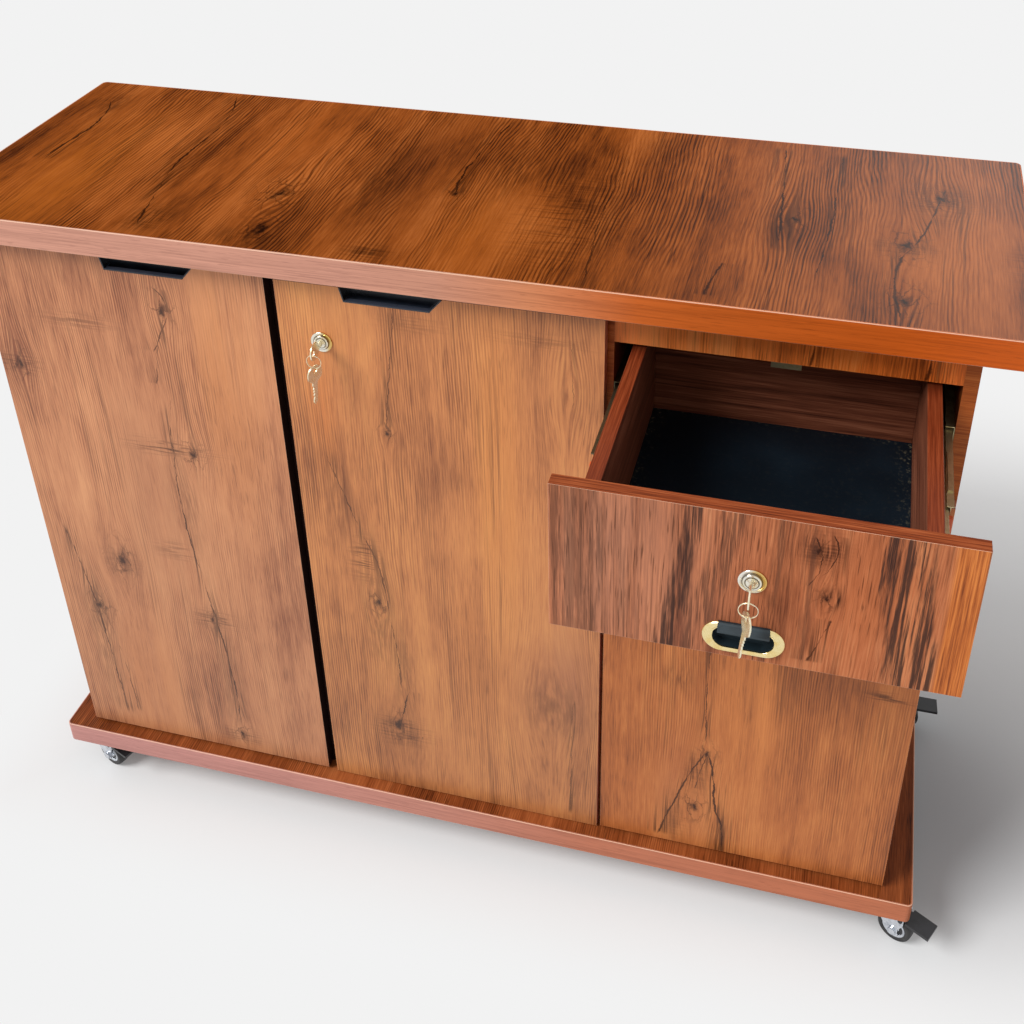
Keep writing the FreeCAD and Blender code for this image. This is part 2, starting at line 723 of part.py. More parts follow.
doors = {
    "left": dict(x=("door_left", "left_door_end"), z=("door_bottom", "door_top"),
                 edge="door_left", sign=1, wall="-inside", pull="left_pull_start"),
    "middle": dict(x=("middle_door_start", "middle_door_end"), z=("middle_bottom", "middle_top"),
                   edge="middle_door_end", sign=-1, wall="middle_bay_end", pull="middle_pull_start"),
    "lower": dict(x=("column_start", "column_end"), z=("door_bottom", "lower_top"),
                  edge="column_end", sign=-1, wall="inside", pull="lower_pull_start"),
}
for door in doors.values():
    low, high = door["z"]
    door["heights"] = (f"{low} + hinge_end", f"{high} - hinge_end")
    sign = door["sign"]
    way = "-x" if sign > 0 else "+x"
    door["plate_screws"] = [
        small_at(f"{door['wall']} + {sign} * plate_thickness", "plate_screw_back",
                 f"{height} + {side} * plate_screw_spread", way)
        for height in door["heights"] for side in (-1, 1)
    ]

slide_screws = {}
for key, wall, sign, way in (("left", "right_bay_start", 1, "-x"), ("right", "inside", -1, "+x")):
    slide_screws[key] = [
        small_at(f"{wall} + {sign} * slide_sheet", f"slide_front + {back}", "slide_centre", way)
        for back in ("slide_screw_front", "slide_screw_back")
    ]

rail_strike_screw = small_at("drawer_lock_x + strike_screw_side", "front + strike_screw_back",
                             "rail_bottom - strike_thickness", "+z")
side_strike_screw = small_at("middle_bay_start + strike_thickness", "front + strike_screw_back",
                             "door_lock_z + strike_screw_side", "-x")

# Carcass boards with rows of shelf pin holes

HOLES = 7
pin_depths = ("front + pin_row_setback", "back_face - pin_row_setback")


def pin_holes(face, way):
    """Two rows of pin holes in one face of an upright."""
    start = f"{face} - over" if way == "+x" else f"{face} + over"
    return [
        rod("pin_radius + fit", "pin_depth + over + slip", start, depth,
            f"pin_row_start + {step} * pin_pitch", way)
        for depth in pin_depths for step in range(HOLES)
    ]


upright_z = ("0", "carcass_height")
left_side = cut(
    box(("-side", "-inside"), ("front", "rear"), upright_z),
    pin_holes("-inside", "-x") + [left_rail_screw()] + [make() for make in left_back_screws]
    + [make() for make in base_screws[0]] + [make() for make in doors["left"]["plate_screws"]])
right_side = cut(
    box(("inside", "side"), ("front", "rear"), upright_z),
    pin_holes("inside", "+x") + [right_rail_screw()] + [make() for make in right_back_screws]
    + [make() for make in right_divider_screws] + [make() for make in base_screws[3]]
    + [make() for make in doors["lower"]["plate_screws"]] + [make() for make in slide_screws["right"]])
node("side_panels", group([left_side, right_side]))

left_upright = cut(
    box(("left_bay_end", "middle_bay_start"), ("front", "back_face"), upright_z),
    pin_holes("left_bay_end", "+x") + pin_holes("middle_bay_start", "-x")
    + [make() for make in base_screws[1]] + [side_strike_screw()])
right_upright = cut(
    box(("middle_bay_end", "right_bay_start"), ("front", "back_face"), upright_z),
    pin_holes("middle_bay_end", "+x") + pin_holes("right_bay_start", "-x")
    + [make() for make in base_screws[2]] + [make() for make in left_divider_screws]
    + [make() for make in doors["middle"]["plate_screws"]] + [make() for make in slide_screws["left"]])
node("partition_panels", group([left_upright, right_upright]))

node("back_panel", cut(
    box(("-inside", "inside"), ("back_face", "rear"), upright_z),
    [make() for make in left_back_screws + right_back_screws + base_back_screws]))

rails = []
for (low, high), drills, ends in zip(bays, rail_screws, ([left_rail_screw], [], [right_rail_screw])):
    tools = [make() for make in drills + ends]
    if low == "right_bay_start":
        tools.append(rail_strike_screw())
    rails.append(cut(box((low, high), ("front", "front + board"), ("rail_bottom", "carcass_height")), tools))
node("top_rails", group(rails))

node("drawer_divider", cut(
    box(("right_bay_start", "inside"), ("front", "back_face"), ("divider_top - board", "divider_top")),
    [make() for make in left_divider_screws + right_divider_screws]))

# Shelves on pins

PIN_STEP = 2
pin_height = f"pin_row_start + {PIN_STEP} * pin_pitch"
shelf_under = f"{pin_height} + pin_head_radius"
node("shelves", group([
    box((f"{low} + shelf_play", f"{high} - shelf_play"), ("front + shelf_setback", "back_face"),
        (shelf_under, f"{shelf_under} + board"))
    for low, high in bays
]))
pin = turned((
    ("0", "-pin_depth"),
    ("pin_radius", "-pin_depth"),
    ("pin_radius", "0"),
    ("pin_head_radius", "0"),
    ("pin_head_radius", "pin_head_length"),
    ("0", "pin_head_length"),
))
pins = []
for low, high in bays:
    for depth in pin_depths:
        pins.append(copy(pin, low, depth, pin_height, TURNS["+x"]))
        pins.append(copy(pin, high, depth, pin_height, TURNS["-x"]))
node("shelf_pins", group(pins))

# Hinges: arms on the carcass, cups in the doors, links between them


def across(door, rule):
    """A width rule measured inwards from the hinge edge of a door."""
    return f"{door['edge']} + {door['sign']} * ({rule})"


def hinge_arm(door, height):
    """One arm with its plate, fork cheeks and pin bores."""
    wall = f"abs({door['wall']} - {door['edge']})"
    half = "arm_width / 2"
    top = "pivot_across + cheek_radius"
    arm = new_body()
    pad(arm, "xy", (f"{height} - {half}", f"{height} + {half}"), [
        (across(door, u), y) for u, y in (
            (f"{wall} + plate_thickness", "arm_start + cheek"),
            ("pivot_across - cheek_radius", "pivot_back + cheek_radius"),
            ("pivot_across - cheek_radius", "pivot_back - cheek_radius / 2"),
            ("pivot_across - cheek_radius / 2", "pivot_back - cheek_radius"),
            ("pivot_across + cheek_radius / 2", "pivot_back - cheek_radius"),
            (top, "pivot_back - cheek_radius / 2"),
            (top, "arm_end - cheek"),
            (f"{top} - cheek", "arm_end"),
            (f"{wall} + plate_thickness", "arm_end"),
        )])
    pad(arm, "xy", (f"{height} - plate_width / 2", f"{height} + plate_width / 2"), [
        (across(door, u), y) for u, y in (
            (wall, "plate_start"),
            (f"{wall} + plate_thickness", "plate_start"),
            (f"{wall} + plate_thickness", "plate_end"),
            (wall, "plate_end"),
        )])
    pad(arm, "xy", (f"{height} - wing_height / 2", f"{height} + wing_height / 2"), [
        (across(door, u), y) for u, y in (
            (wall, "plate_screw_back - wing_depth / 2"),
            (f"{wall} + plate_thickness", "plate_screw_back - wing_depth / 2"),
            (f"{wall} + plate_thickness", "plate_screw_back + wing_depth / 2"),
            (wall, "plate_screw_back + wing_depth / 2"),
        )])
    slot = "link_height / 2 + cheek_gap"
    pocket(arm, "xy", (f"{height} - ({slot})", f"{height} + {slot}"), [
        (across(door, u), y) for u, y in (
            ("pivot_across - cheek_radius - over", "pivot_back - cheek_radius - over"),
            (f"{top} + over", "pivot_back - cheek_radius - over"),
            (f"{top} + over", "arm_start"),
            ("pivot_across - cheek_radius - over", "arm_start"),
        )])
    pocket(arm, "xy", (f"{height} - {half} - over", f"{height} + {half} + over"),
           circles=[(across(door, "pivot_across"), "pivot_back", "link_pin + fit")])
    sign = door["sign"]
    start = f"{door['wall']} - {sign} * over"
    drills = [
        rod("small_screw_radius + fit", "plate_thickness + 2 * over", start, "plate_screw_back",
            f"{height} + {side} * plate_screw_spread", "+x" if sign > 0 else "-x")
        for side in (-1, 1)
    ]
    return cut(arm, drills)


arms = [hinge_arm(door, height) for door in doors.values() for height in door["heights"]]
node("hinge_arms", group(arms))


def hinge_link(door, height):
    """A hooked link with the pin it turns on."""
    half = "link_thickness / 2"
    bend = "link_angle + hook_angle"
    join = "link_angle + hook_angle / 2"
    knee = f"({half}) / cos(hook_angle / 2)"

    def spot(forward, angle, side, side_angle, start_u="pivot_across", start_y="pivot_back"):
        u = f"{start_u} + {forward} * cos({angle}) - ({side}) * sin({side_angle})"
        y = f"{start_y} + {forward} * sin({angle}) + ({side}) * cos({side_angle})"
        return across(door, u), y

    knee_u = "pivot_across + link_length * cos(link_angle)"
    knee_y = "pivot_back + link_length * sin(link_angle)"
    link = new_body()
    pad(link, "xy", (f"{height} - link_height / 2", f"{height} + link_height / 2"), (
        spot("0", "link_angle", half, "link_angle"),
        spot("link_length", "link_angle", knee, join),
        spot("hook_length", bend, half, bend, knee_u, knee_y),
        spot("hook_length", bend, f"-{half}", bend, knee_u, knee_y),
        spot("link_length", "link_angle", f"-({knee})", join),
        spot("0", "link_angle", f"-{half}", "link_angle"),
    ))
    pad(link, "xy", (f"{height} - link_height / 2", f"{height} + link_height / 2"),
        circles=[(across(door, "pivot_across"), "pivot_back", "link_boss")])
    pad(link, "xy", (f"{height} - arm_width / 2", f"{height} + arm_width / 2"),
        circles=[(across(door, "pivot_across"), "pivot_back", "link_pin")])
    tip_u = f"{knee_u} + hook_length * cos({bend})"
    tip_y = f"{knee_y} + hook_length * sin({bend})"
    half_pin = f"sqrt((cup_radius - cup_wall)^2 - ({tip_u} - cup_centre + hook_pin)^2) - slip"
    pad(link, "xy", (f"{height} - ({half_pin})", f"{height} + {half_pin}"),
        circles=[(across(door, tip_u), tip_y, "hook_pin")])
    return link


for name, door in doors.items():
    node(f"{name}_door_hinge_links", group([hinge_link(door, height) for height in door["heights"]]))


def hinge_cup(door, height):
    """A pressed cup with its flange ears and two dowels."""
    centre = across(door, "cup_centre")
    floor = "board - cup_depth"
    cup = new_body()
    pad(cup, "xz", (floor, "board + cup_flange"), circles=[(centre, height, "cup_radius")])
    corners = [
        (across(door, f"cup_centre + {u} * cup_flange_width / 2"), f"{height} + {z} * cup_flange_height / 2")
        for u, z in ((-1, -1), (1, -1), (1, 1), (-1, 1))
    ]
    pad(cup, "xz", ("board", "board + cup_flange"), corners)
    edge = number("cup_flange_height") / 2
    level = number(height)
    soften(cup, "Fillet", "cup_flange_corner",
           lambda middle, along, edge_: abs(along.y) > 0.999 and abs(abs(middle.z - level) - edge) < 1e-3)
    pocket(cup, "xz", (f"{floor} + cup_floor", "board + cup_flange + over"),
           circles=[(centre, height, "cup_radius - cup_wall")])
    for side in (-1, 1):
        pad(cup, "xz", ("board - dowel_depth", "board"),
            circles=[(across(door, "cup_centre + dowel_offset"), f"{height} + {side} * dowel_spread",
                      "dowel_radius")])
    return cup


for name, door in doors.items():
    node(f"{name}_door_hinge_cups", group([hinge_cup(door, height) for height in door["heights"]]))


def cup_bores(door):
    """Blind bores in the inner face of a door for its cups."""
    tools = []
    for height in door["heights"]:
        tools.append(rod("cup_radius + fit", "cup_depth + slip + over", across(door, "cup_centre"),
                         "board + over", height, "-y"))
        for side in (-1, 1):
            tools.append(rod("dowel_radius + fit", "dowel_depth + slip + over",
                             across(door, "cup_centre + dowel_offset"), "board + over",
                             f"{height} + {side} * dowel_spread", "-y"))
    return tools


# Door pulls let into the door top edges


def pull_ends(start, top, inset, depth):
    """Left and right width rules of the cut-out at a depth below the door top."""
    left = f"{start} + {inset} + pull_left_slope * ({depth}) / pull_depth"
    right = f"{start} + pull_width - ({inset}) - pull_right_slope * ({depth}) / pull_depth"
    return left, right


def pull_outline(start, top, inset, high, low):
    """Four corners of the cut-out between two depths below the door top."""
    left_high, right_high = pull_ends(start, top, inset, high)
    left_low, right_low = pull_ends(start, top, inset, low)
    return (
        (left_low, f"{top} - ({low})"),
        (right_low, f"{top} - ({low})"),
        (right_high, f"{top} - ({high})"),
        (left_high, f"{top} - ({high})"),
    )


def pull_cut(start, top):
    """The notch and the pocket behind its lower edge."""
    notch = new_body()
    pad(notch, "xz", ("-over", "board + over"), pull_outline(start, top, "0", "-over", "pull_depth"))
    left, right = pull_ends(start, top, "0", "pull_depth")
    under = "pull_depth + pull_pocket"
    pad(notch, "xz", ("pull_pocket_front", "board + over"), (
        (left, f"{top} - ({under})"),
        (right, f"{top} - ({under})"),
        (right, f"{top} - pull_depth"),
        (left, f"{top} - pull_depth"),
    ))
    return notch


def door_pull(start, top):
    """A folded sheet: end walls, back wall, lip and the groove behind the lip."""
    pull = new_body()
    reach = "board - slip"
    low = "pull_depth - slip"
    left, right = pull_ends(start, top, "slip", "pull_depth")
    under = "pull_depth + pull_pocket - slip"
    pad(pull, "xz", ("0", reach), pull_outline(start, top, "slip", "pull_top_drop", low))
    pad(pull, "xz", ("pull_pocket_front + slip", reach), (
        (left, f"{top} - ({under})"),
        (right, f"{top} - ({under})"),
        (right, f"{top} - ({low})"),
        (left, f"{top} - ({low})"),
    ))
    pad(pull, "xz", ("-pull_nose", "0"), (
        (left, f"{top} - ({low})"),
        (right, f"{top} - ({low})"),
        (right, f"{top} - ({low}) + pull_sheet"),
        (left, f"{top} - ({low}) + pull_sheet"),
    ))
    pocket(pull, "xz", ("-pull_nose - over", f"{reach} - pull_sheet"),
           pull_outline(start, top, "slip + pull_sheet", "-over", f"{low} - pull_sheet"))
    inner_left = f"{left} + pull_sheet"
    inner_right = f"{right} - pull_sheet"
    pocket(pull, "xz", ("pull_pocket_front + slip + pull_sheet", f"{reach} - pull_sheet"), (
        (inner_left, f"{top} - ({under}) + pull_sheet"),
        (inner_right, f"{top} - ({under}) + pull_sheet"),
        (inner_right, f"{top} - ({low}) + pull_sheet + over"),
        (inner_left, f"{top} - ({low}) + pull_sheet + over"),
    ))
    return pull


for name, door in doors.items():
    start = f"{door['x'][0]} + {door['pull']}"
    top = door["z"][1]
    tools = cup_bores(door) + [pull_cut(start, top)]
    if name == "middle":
        tools.append(rod("barrel_radius + slip", "board + 2 * over", "door_lock_x", "-over", "door_lock_z", "+y"))
    node(f"{name}_door_panel", cut(box(door["x"], ("0", "board"), door["z"]), tools))
    node(f"{name}_door_pull", door_pull(start, top))

# Drawer box

drawer_left = ("drawer_side_left", "drawer_side_left + board")
drawer_right = ("drawer_side_right - board", "drawer_side_right")


def stadium(x, z, width, height, low, high):
    """A straight-sided plate with round ends in the upright plane."""
    body = new_body()
    half = f"({width} - {height}) / 2"
    pad(body, "xz", (low, high), (
        (f"{x} - {half}", f"{z} - ({height}) / 2"),
        (f"{x} + {half}", f"{z} - ({height}) / 2"),
        (f"{x} + {half}", f"{z} + ({height}) / 2"),
        (f"{x} - {half}", f"{z} + ({height}) / 2"),
    ))
    for side in ("-", "+"):
        pad(body, "xz", (low, high), circles=[(f"{x} {side} {half}", z, f"({height}) / 2")])
    return body


recess = stadium("bezel_x", "bezel_z", "(bezel_opening_width + 2 * insert_wall + 2 * slip)",
                 "(bezel_opening_height + 2 * insert_wall + 2 * slip)",
                 "drawer_face - over", "drawer_face + insert_depth + slip")
node("drawer_front", cut(
    box(("column_start", "column_end"), ("drawer_face", "drawer_inside"), ("drawer_bottom_edge", "drawer_top")),
    [recess, rod("barrel_radius + slip", "board + 2 * over", "drawer_lock_x", "drawer_face - over",
                 "drawer_lock_z", "+y")]))

groove_z = ("bottom_under - slip", "bottom_over + slip")
node("drawer_sides", group([
    cut(box(drawer_left, ("drawer_inside", "drawer_end"), ("drawer_floor", "drawer_rim")),
        [box((f"{drawer_left[1]} - groove_depth", f"{drawer_left[1]} + over"),
             ("drawer_inside - over", "drawer_end + over"), groove_z)]),
    cut(box(drawer_right, ("drawer_inside", "drawer_end"), ("drawer_floor", "drawer_rim")),
        [box((f"{drawer_right[0]} - over", f"{drawer_right[0]} + groove_depth"),
             ("drawer_inside - over", "drawer_end + over"), groove_z)]),
]))
node("drawer_back", box((drawer_left[1], drawer_right[0]), ("drawer_end - board", "drawer_end"),
                        ("bottom_over", "drawer_rim")))
node("drawer_bottom", box((f"{drawer_left[1]} - bottom_tongue", f"{drawer_right[0]} + bottom_tongue"),
                          ("drawer_inside", "drawer_end"), ("bottom_under", "bottom_over")))

# Flush pull on the drawer

bezel = stadium("bezel_x", "bezel_z", "bezel_width", "bezel_height", "drawer_face - bezel_thickness", "drawer_face")
soften(bezel, "Chamfer", "bezel_chamfer",
       lambda middle, along, edge: near(middle.y, "drawer_face - bezel_thickness"))
window = stadium("bezel_x", "bezel_z", "bezel_opening_width", "bezel_opening_height",
                 "drawer_face - bezel_thickness - over", "drawer_face + over")
node("drawer_pull_bezel", cut(bezel, [window]))

cup_shell = stadium("bezel_x", "bezel_z", "(bezel_opening_width + 2 * insert_wall)",
                    "(bezel_opening_height + 2 * insert_wall)", "drawer_face", "drawer_face + insert_depth")
cup_void = stadium("bezel_x", "bezel_z", "bezel_opening_width", "bezel_opening_height",
                   "drawer_face - over", "drawer_face + insert_depth - insert_wall")
hood_face = "drawer_face - bezel_thickness - slip"
hood_root = "bezel_z + bezel_opening_height / 2"
hood = new_body()
pad(hood, "yz", ("bezel_x - hood_left", "bezel_x + hood_right"), (
    (hood_face, f"{hood_root} - hood_thickness - slip"),
    (hood_face, "bezel_z + hood_rise"),
    ("drawer_face - hood_reach", "bezel_z + hood_edge_rise + hood_edge / 2"),
    ("drawer_face - hood_reach", "bezel_z + hood_edge_rise - hood_edge / 2"),
    (f"{hood_face} - hood_thickness", f"{hood_root} - hood_thickness - slip"),
))
# The neck passes the bezel only along the straight part of its opening.
neck_half = "(bezel_opening_width - bezel_opening_height) / 2"
neck = new_body()
pad(neck, "yz", (f"bezel_x - {neck_half}", f"bezel_x + {neck_half}"), (
    ("drawer_face + insert_wall", f"{hood_root} + slip"),
    ("drawer_face", f"{hood_root} - slip"),
    (f"{hood_face} - slip", f"{hood_root} - slip"),
    (f"{hood_face} - slip", f"{hood_root} - hood_thickness"),
    ("drawer_face + insert_wall", f"{hood_root} - hood_thickness"),
))
node("drawer_pull_insert", fuse([cut(cup_shell, [cup_void]), hood, neck]))

# Slides: sheet sections drawn across the travel


def wall_side(wall, sign, rule):
    """A width rule measured from a bay wall into the bay."""
    return f"{wall} + {sign} * ({rule})"


walls = (("right_bay_start", 1), ("inside", -1))


def channel(wall, sign, web, start, end, height, span, sheet_rule="slide_sheet"):
    """A folded channel: a web between two flanges, which stop at the web where end is left open."""
    body = new_body()
    half = f"({height}) / 2"
    web_end = f"{web} + {sheet_rule}"
    points = []
    if web == start:
        points = (
            (web, f"-{half}"), (end, f"-{half}"), (end, f"-{half} + {sheet_rule}"),
            (web_end, f"-{half} + {sheet_rule}"), (web_end, f"{half} - {sheet_rule}"),
            (end, f"{half} - {sheet_rule}"), (end, half), (web, half),
        )
    elif end is None:
        end = web_end
        points = (
            (start, f"-{half}"), (end, f"-{half}"), (end, half), (start, half),
            (start, f"{half} - {sheet_rule}"), (web, f"{half} - {sheet_rule}"),
            (web, f"-{half} + {sheet_rule}"), (start, f"-{half} + {sheet_rule}"),
        )
    else:
        points = (
            (start, f"-{half}"), (end, f"-{half}"), (end, f"-{half} + {sheet_rule}"),
            (web_end, f"-{half} + {sheet_rule}"), (web_end, f"{half} - {sheet_rule}"),
            (end, f"{half} - {sheet_rule}"), (end, half), (start, half),
            (start, f"{half} - {sheet_rule}"), (web, f"{half} - {sheet_rule}"),
            (web, f"-{half} + {sheet_rule}"), (start, f"-{half} + {sheet_rule}"),
        )
    pad(body, "xz", span, [(wall_side(wall, sign, u), f"slide_centre + {v}") for u, v in points])
    return body


outer_span = ("slide_front", "slide_front + slide_length")
outers = []
for (wall, sign), key in zip(walls, ("left", "right")):
    body = channel(wall, sign, "0", "0", "slide_outer_lip", "slide_height", outer_span)
    start = wall_side(wall, sign, "-over")
    way = "+x" if sign > 0 else "-x"
    outers.append(cut(body, [
        rod("small_screw_radius + fit", "slide_sheet + 2 * over", start, f"slide_front + {back}", "slide_centre", way)
        for back in ("slide_screw_front", "slide_screw_back")
    ]))
node("slide_outer_members", group(outers))

middle_shift = "drawer_open * middle_share"
middle_front = f"slide_front + slide_middle_set - {middle_shift}"
middle_back = f"slide_front + slide_length - {middle_shift}"


def runner(wall, sign, u, v, low, high):
    """A bearing strip block between two slide flanges."""
    xs = [wall_side(wall, sign, rule) for rule in u]
    if sign < 0:
        xs.reverse()
    return box(xs, (low, high), [f"slide_centre + {rule}" for rule in v])


middles = []
outer_face = "slide_height / 2 - slide_sheet - slip"
middle_half = "slide_middle_height / 2"
inner_half = "slide_inner_height / 2"
for wall, sign in walls:
    body = channel(wall, sign, "slide_middle_web", "slide_middle_start", "slide_middle_end",
                   "slide_middle_height", (middle_front, middle_back))
    strips = []
    for low, high in (
        (f"{middle_front} + runner_inset + lever_reach",
         f"{middle_front} + runner_inset + lever_reach + runner_length"),
        (f"{middle_back} - runner_inset - runner_length", f"{middle_back} - runner_inset"),
    ):
        for way in (1, -1):
            pairs = (
                (("slide_middle_start + slide_sheet", "slide_middle_end - slide_sheet"),
                 (f"{middle_half} - slide_sheet / 2", outer_face)),
                (("slide_inner_start + slip", "slide_middle_end - slip"),
                 (f"{inner_half} + slip", f"{middle_half} - slide_sheet / 2")),
            )
            for u, (near_v, far_v) in pairs:
                v = (near_v, far_v) if way > 0 else (f"-({far_v})", f"-({near_v})")
                strips.append(runner(wall, sign, u, v, low, high))
    whole = fuse([body] + strips)
    hole = rod("lever_pin + fit", "slide_sheet + 2 * over", wall_side(wall, sign, "slide_middle_web - over"),
               f"{middle_front} + lever_reach", "slide_centre", "+x" if sign > 0 else "-x")
    middles.append(cut(whole, [hole]))
node("slide_middle_members", group(middles))

inner_front = "slide_front - drawer_open"
inner_back = "slide_front + slide_length - drawer_open"
inners = []
for wall, sign in walls:
    inners.append(channel(wall, sign, "slide_width - slide_sheet", "slide_inner_start",
                          None, "slide_inner_height", (inner_front, inner_back)))
node("slide_inner_members", group(inners))

packer_z = ("slide_centre - slide_height / 2", "slide_centre + slide_height / 2")
node("drawer_packers", group([
    box(("right_bay_start + slide_width", "drawer_side_left"), (inner_front, inner_back), packer_z),
    box(("drawer_side_right", "inside - slide_width"), (inner_front, inner_back), packer_z),
]))

# Release levers at the front of the middle members


def release_lever(wall, sign):
    """A head across the member end, a tail behind it and the pin it turns on."""
    head_end = f"{middle_front} - lever_gap"
    head = runner(wall, sign, ("slide_middle_start", "slide_width - slide_sheet - 2 * slip"),
                  ("-lever_head_height / 2", "lever_head_height / 2"),
                  f"{head_end} - lever_head", head_end)
    tail_u = ("slide_middle_web + slide_sheet + 2 * slip",
              "slide_middle_web + slide_sheet + 2 * slip + lever_thickness")
    tail = runner(wall, sign, tail_u, ("-lever_width / 2", "lever_width / 2"),
                  f"{head_end} - slip", f"{middle_front} + lever_reach + lever_width / 2")
    pin_start = wall_side(wall, sign, "slide_middle_web")
    lever_pin_rod = rod("lever_pin", "slide_sheet + 3 * slip", pin_start,
                        f"{middle_front} + lever_reach", "slide_centre", "+x" if sign > 0 else "-x")
    return fuse([head, tail, lever_pin_rod])


node("left_release_lever", release_lever(*walls[0]))
node("right_release_lever", release_lever(*walls[1]))

# Locks, keys and strikes

housing = turned((
    ("plug_radius + fit", "-rosette_thickness - rosette_step"),
    ("rosette_step_radius", "-rosette_thickness - rosette_step"),
    ("rosette_step_radius", "-rosette_thickness"),
    ("rosette_radius - rosette_step / 2", "-rosette_thickness"),
    ("rosette_radius", "-rosette_thickness / 2"),
    ("rosette_radius", "0"),
    ("barrel_radius", "0"),
    ("barrel_radius", "board"),
    ("lock_nut_radius", "board"),
    ("lock_nut_radius", "board + lock_nut_thickness"),
    ("barrel_radius", "board + lock_nut_thickness"),
    ("barrel_radius", "barrel_length"),
    ("plug_radius + fit", "barrel_length"),
))


def lock_plug(cam_down):
    """A plug with its keyway and the cam on its tail, pointing to +x or, for cam_down, to +y."""
    plug = new_body()
    face = "-rosette_thickness - rosette_step - plug_proud"
    pad(plug, "xy", (face, "plug_tail"), circles=[("0", "0", "plug_radius")])
    half = "cam_width / 2"
    corners = (
        (f"-{half}", f"-{half}"),
        (f"cam_reach - {half}", f"-{half}"),
        ("cam_reach", f"-{half} / 2"),
        ("cam_reach", f"{half} / 2"),
        (f"cam_reach - {half}", half),
        (f"-{half}", half),
    )
    if cam_down:
        corners = [(side, along) for along, side in corners]
    pad(plug, "xy", ("cam_start", "cam_start + cam_thickness"), corners)
    wide = "key_blade / 2 + keyway_play"
    thin = "key_thickness / 2 + keyway_play"
    pocket(plug, "xy", (f"{face} - over", "key_length - key_reach + keyway_play"), (
        (f"-({thin})", f"-({wide})"),
        (thin, f"-({wide})"),
        (thin, wide),
        (f"-({thin})", wide),
    ))
    return plug


# The keyway stands upright in both locks: the drawer's cam points sideways, the door's down.
plug = lock_plug(False)
plug_down = lock_plug(True)


def key_body():
    """A key in the x z plane of its own frame, tip up, bow down."""
    key = new_body()
    thin = "key_thickness / 2"
    blade = "key_blade / 2"
    wide = "key_bow_width / 2"
    slope = "key_bow_corner / 2"
    tip = "key_length - key_reach"
    tail = "-key_reach"
    pad(key, "xz", (f"-{thin}", thin), (
        (f"-{wide}", tail),
        (wide, tail),
        (wide, f"{tail} + key_bow_length - {slope}"),
        (f"{wide} - {slope}", f"{tail} + key_bow_length"),
        (blade, f"{tail} + key_bow_length"),
        (blade, f"{tip} - {blade}"),
        (f"{blade} / 3", tip),
        (f"-{blade} / 3", tip),
        (f"-{blade}", f"{tip} - {blade}"),
        (f"-{blade}", f"{tail} + key_bow_length"),
        (f"-{wide} + {slope}", f"{tail} + key_bow_length"),
        (f"-{wide}", f"{tail} + key_bow_length - {slope}"),
    ))
    soften(key, "Fillet", "key_bow_corner",
           lambda middle, along, edge: crosswise(middle, along, edge) and near(middle.z, tail))
    pocket(key, "xz", (f"-{thin} - over", f"{thin} + over"),
           circles=[("0", f"{tail} + key_hole_inset", "key_hole_radius")])
    return key


key = key_body()

# The key lies in the upright plane through the lock axis, bow outwards.
into = FreeCAD.Rotation(vec(1, 0, 0), -90)
key_turn = into.multiply(FreeCAD.Rotation(vec(0, 0, 1), 90))


def lock_set(name, x, face, z, plug_shape):
    """Housing, plug, key and hanging ring of one lock."""
    node(f"{name}_lock_housing", copy(housing, x, face, z, into))
    node(f"{name}_lock_plug", copy(plug_shape, x, face, z, into))
    node(f"{name}_lock_key", copy(key, x, face, z, key_turn))
    ring = doc.addObject("Part::Torus", fresh("ring"))
    bind(ring, "Radius1", "ring_radius")
    bind(ring, "Radius2", "ring_wire")
    hole_y = f"{face} - key_reach + key_hole_inset"
    put(ring, x, hole_y, f"{z} - ring_drop", FreeCAD.Rotation(vec(1, 0, 0), 90))
    tilt = number("key_tilt")
    hang = FreeCAD.Rotation(vec(0, 1, 0), tilt).multiply(
        FreeCAD.Rotation(vec(1, 0, 0), 180).multiply(FreeCAD.Rotation(vec(0, 0, 1), 90)))
    drop = "ring_radius + key_hole_radius - ring_wire - fit"
    to_hole = "key_reach - key_hole_inset"
    spare = copy(key, f"{x} - ({to_hole}) * sin(key_tilt)", hole_y,
                 f"{z} - ring_drop - ({drop}) - ({to_hole}) * cos(key_tilt)", hang)
    node(f"{name}_key_ring", group([ring, spare]))


lock_set("door", "door_lock_x", "0", "door_lock_z", plug_down)
lock_set("drawer", "drawer_lock_x", "drawer_face", "drawer_lock_z", plug)

strike_half = "strike_width / 2"
rail_strike = new_body()
pad(rail_strike, "yz", (f"drawer_lock_x - {strike_half}", f"drawer_lock_x + {strike_half}"), (
    ("front", "rail_bottom - strike_leg"),
    ("front + strike_thickness", "rail_bottom - strike_leg"),
    ("front + strike_thickness", "rail_bottom - strike_thickness"),
    ("front + strike_depth", "rail_bottom - strike_thickness"),
    ("front + strike_depth", "rail_bottom"),
    ("front", "rail_bottom"),
))
rail_plate = cut(rail_strike, [rod(
    "small_screw_radius + fit", "strike_thickness + 2 * over", "drawer_lock_x + strike_screw_side",
    "front + strike_screw_back", "rail_bottom + over", "-z")])
side_strike = new_body()
pad(side_strike, "xy", (f"door_lock_z - {strike_half}", f"door_lock_z + {strike_half}"), (
    ("middle_bay_start", "front"),
    ("middle_bay_start + strike_side_leg", "front"),
    ("middle_bay_start + strike_side_leg", "front + strike_thickness"),
    ("middle_bay_start + strike_thickness", "front + strike_thickness"),
    ("middle_bay_start + strike_thickness", "front + strike_depth"),
    ("middle_bay_start", "front + strike_depth"),
))
side_plate = cut(side_strike, [rod(
    "small_screw_radius + fit", "strike_thickness + 2 * over", "middle_bay_start - over",
    "front + strike_screw_back", "door_lock_z + strike_screw_side", "+x")])
node("lock_strikes", group([rail_plate, side_plate]))

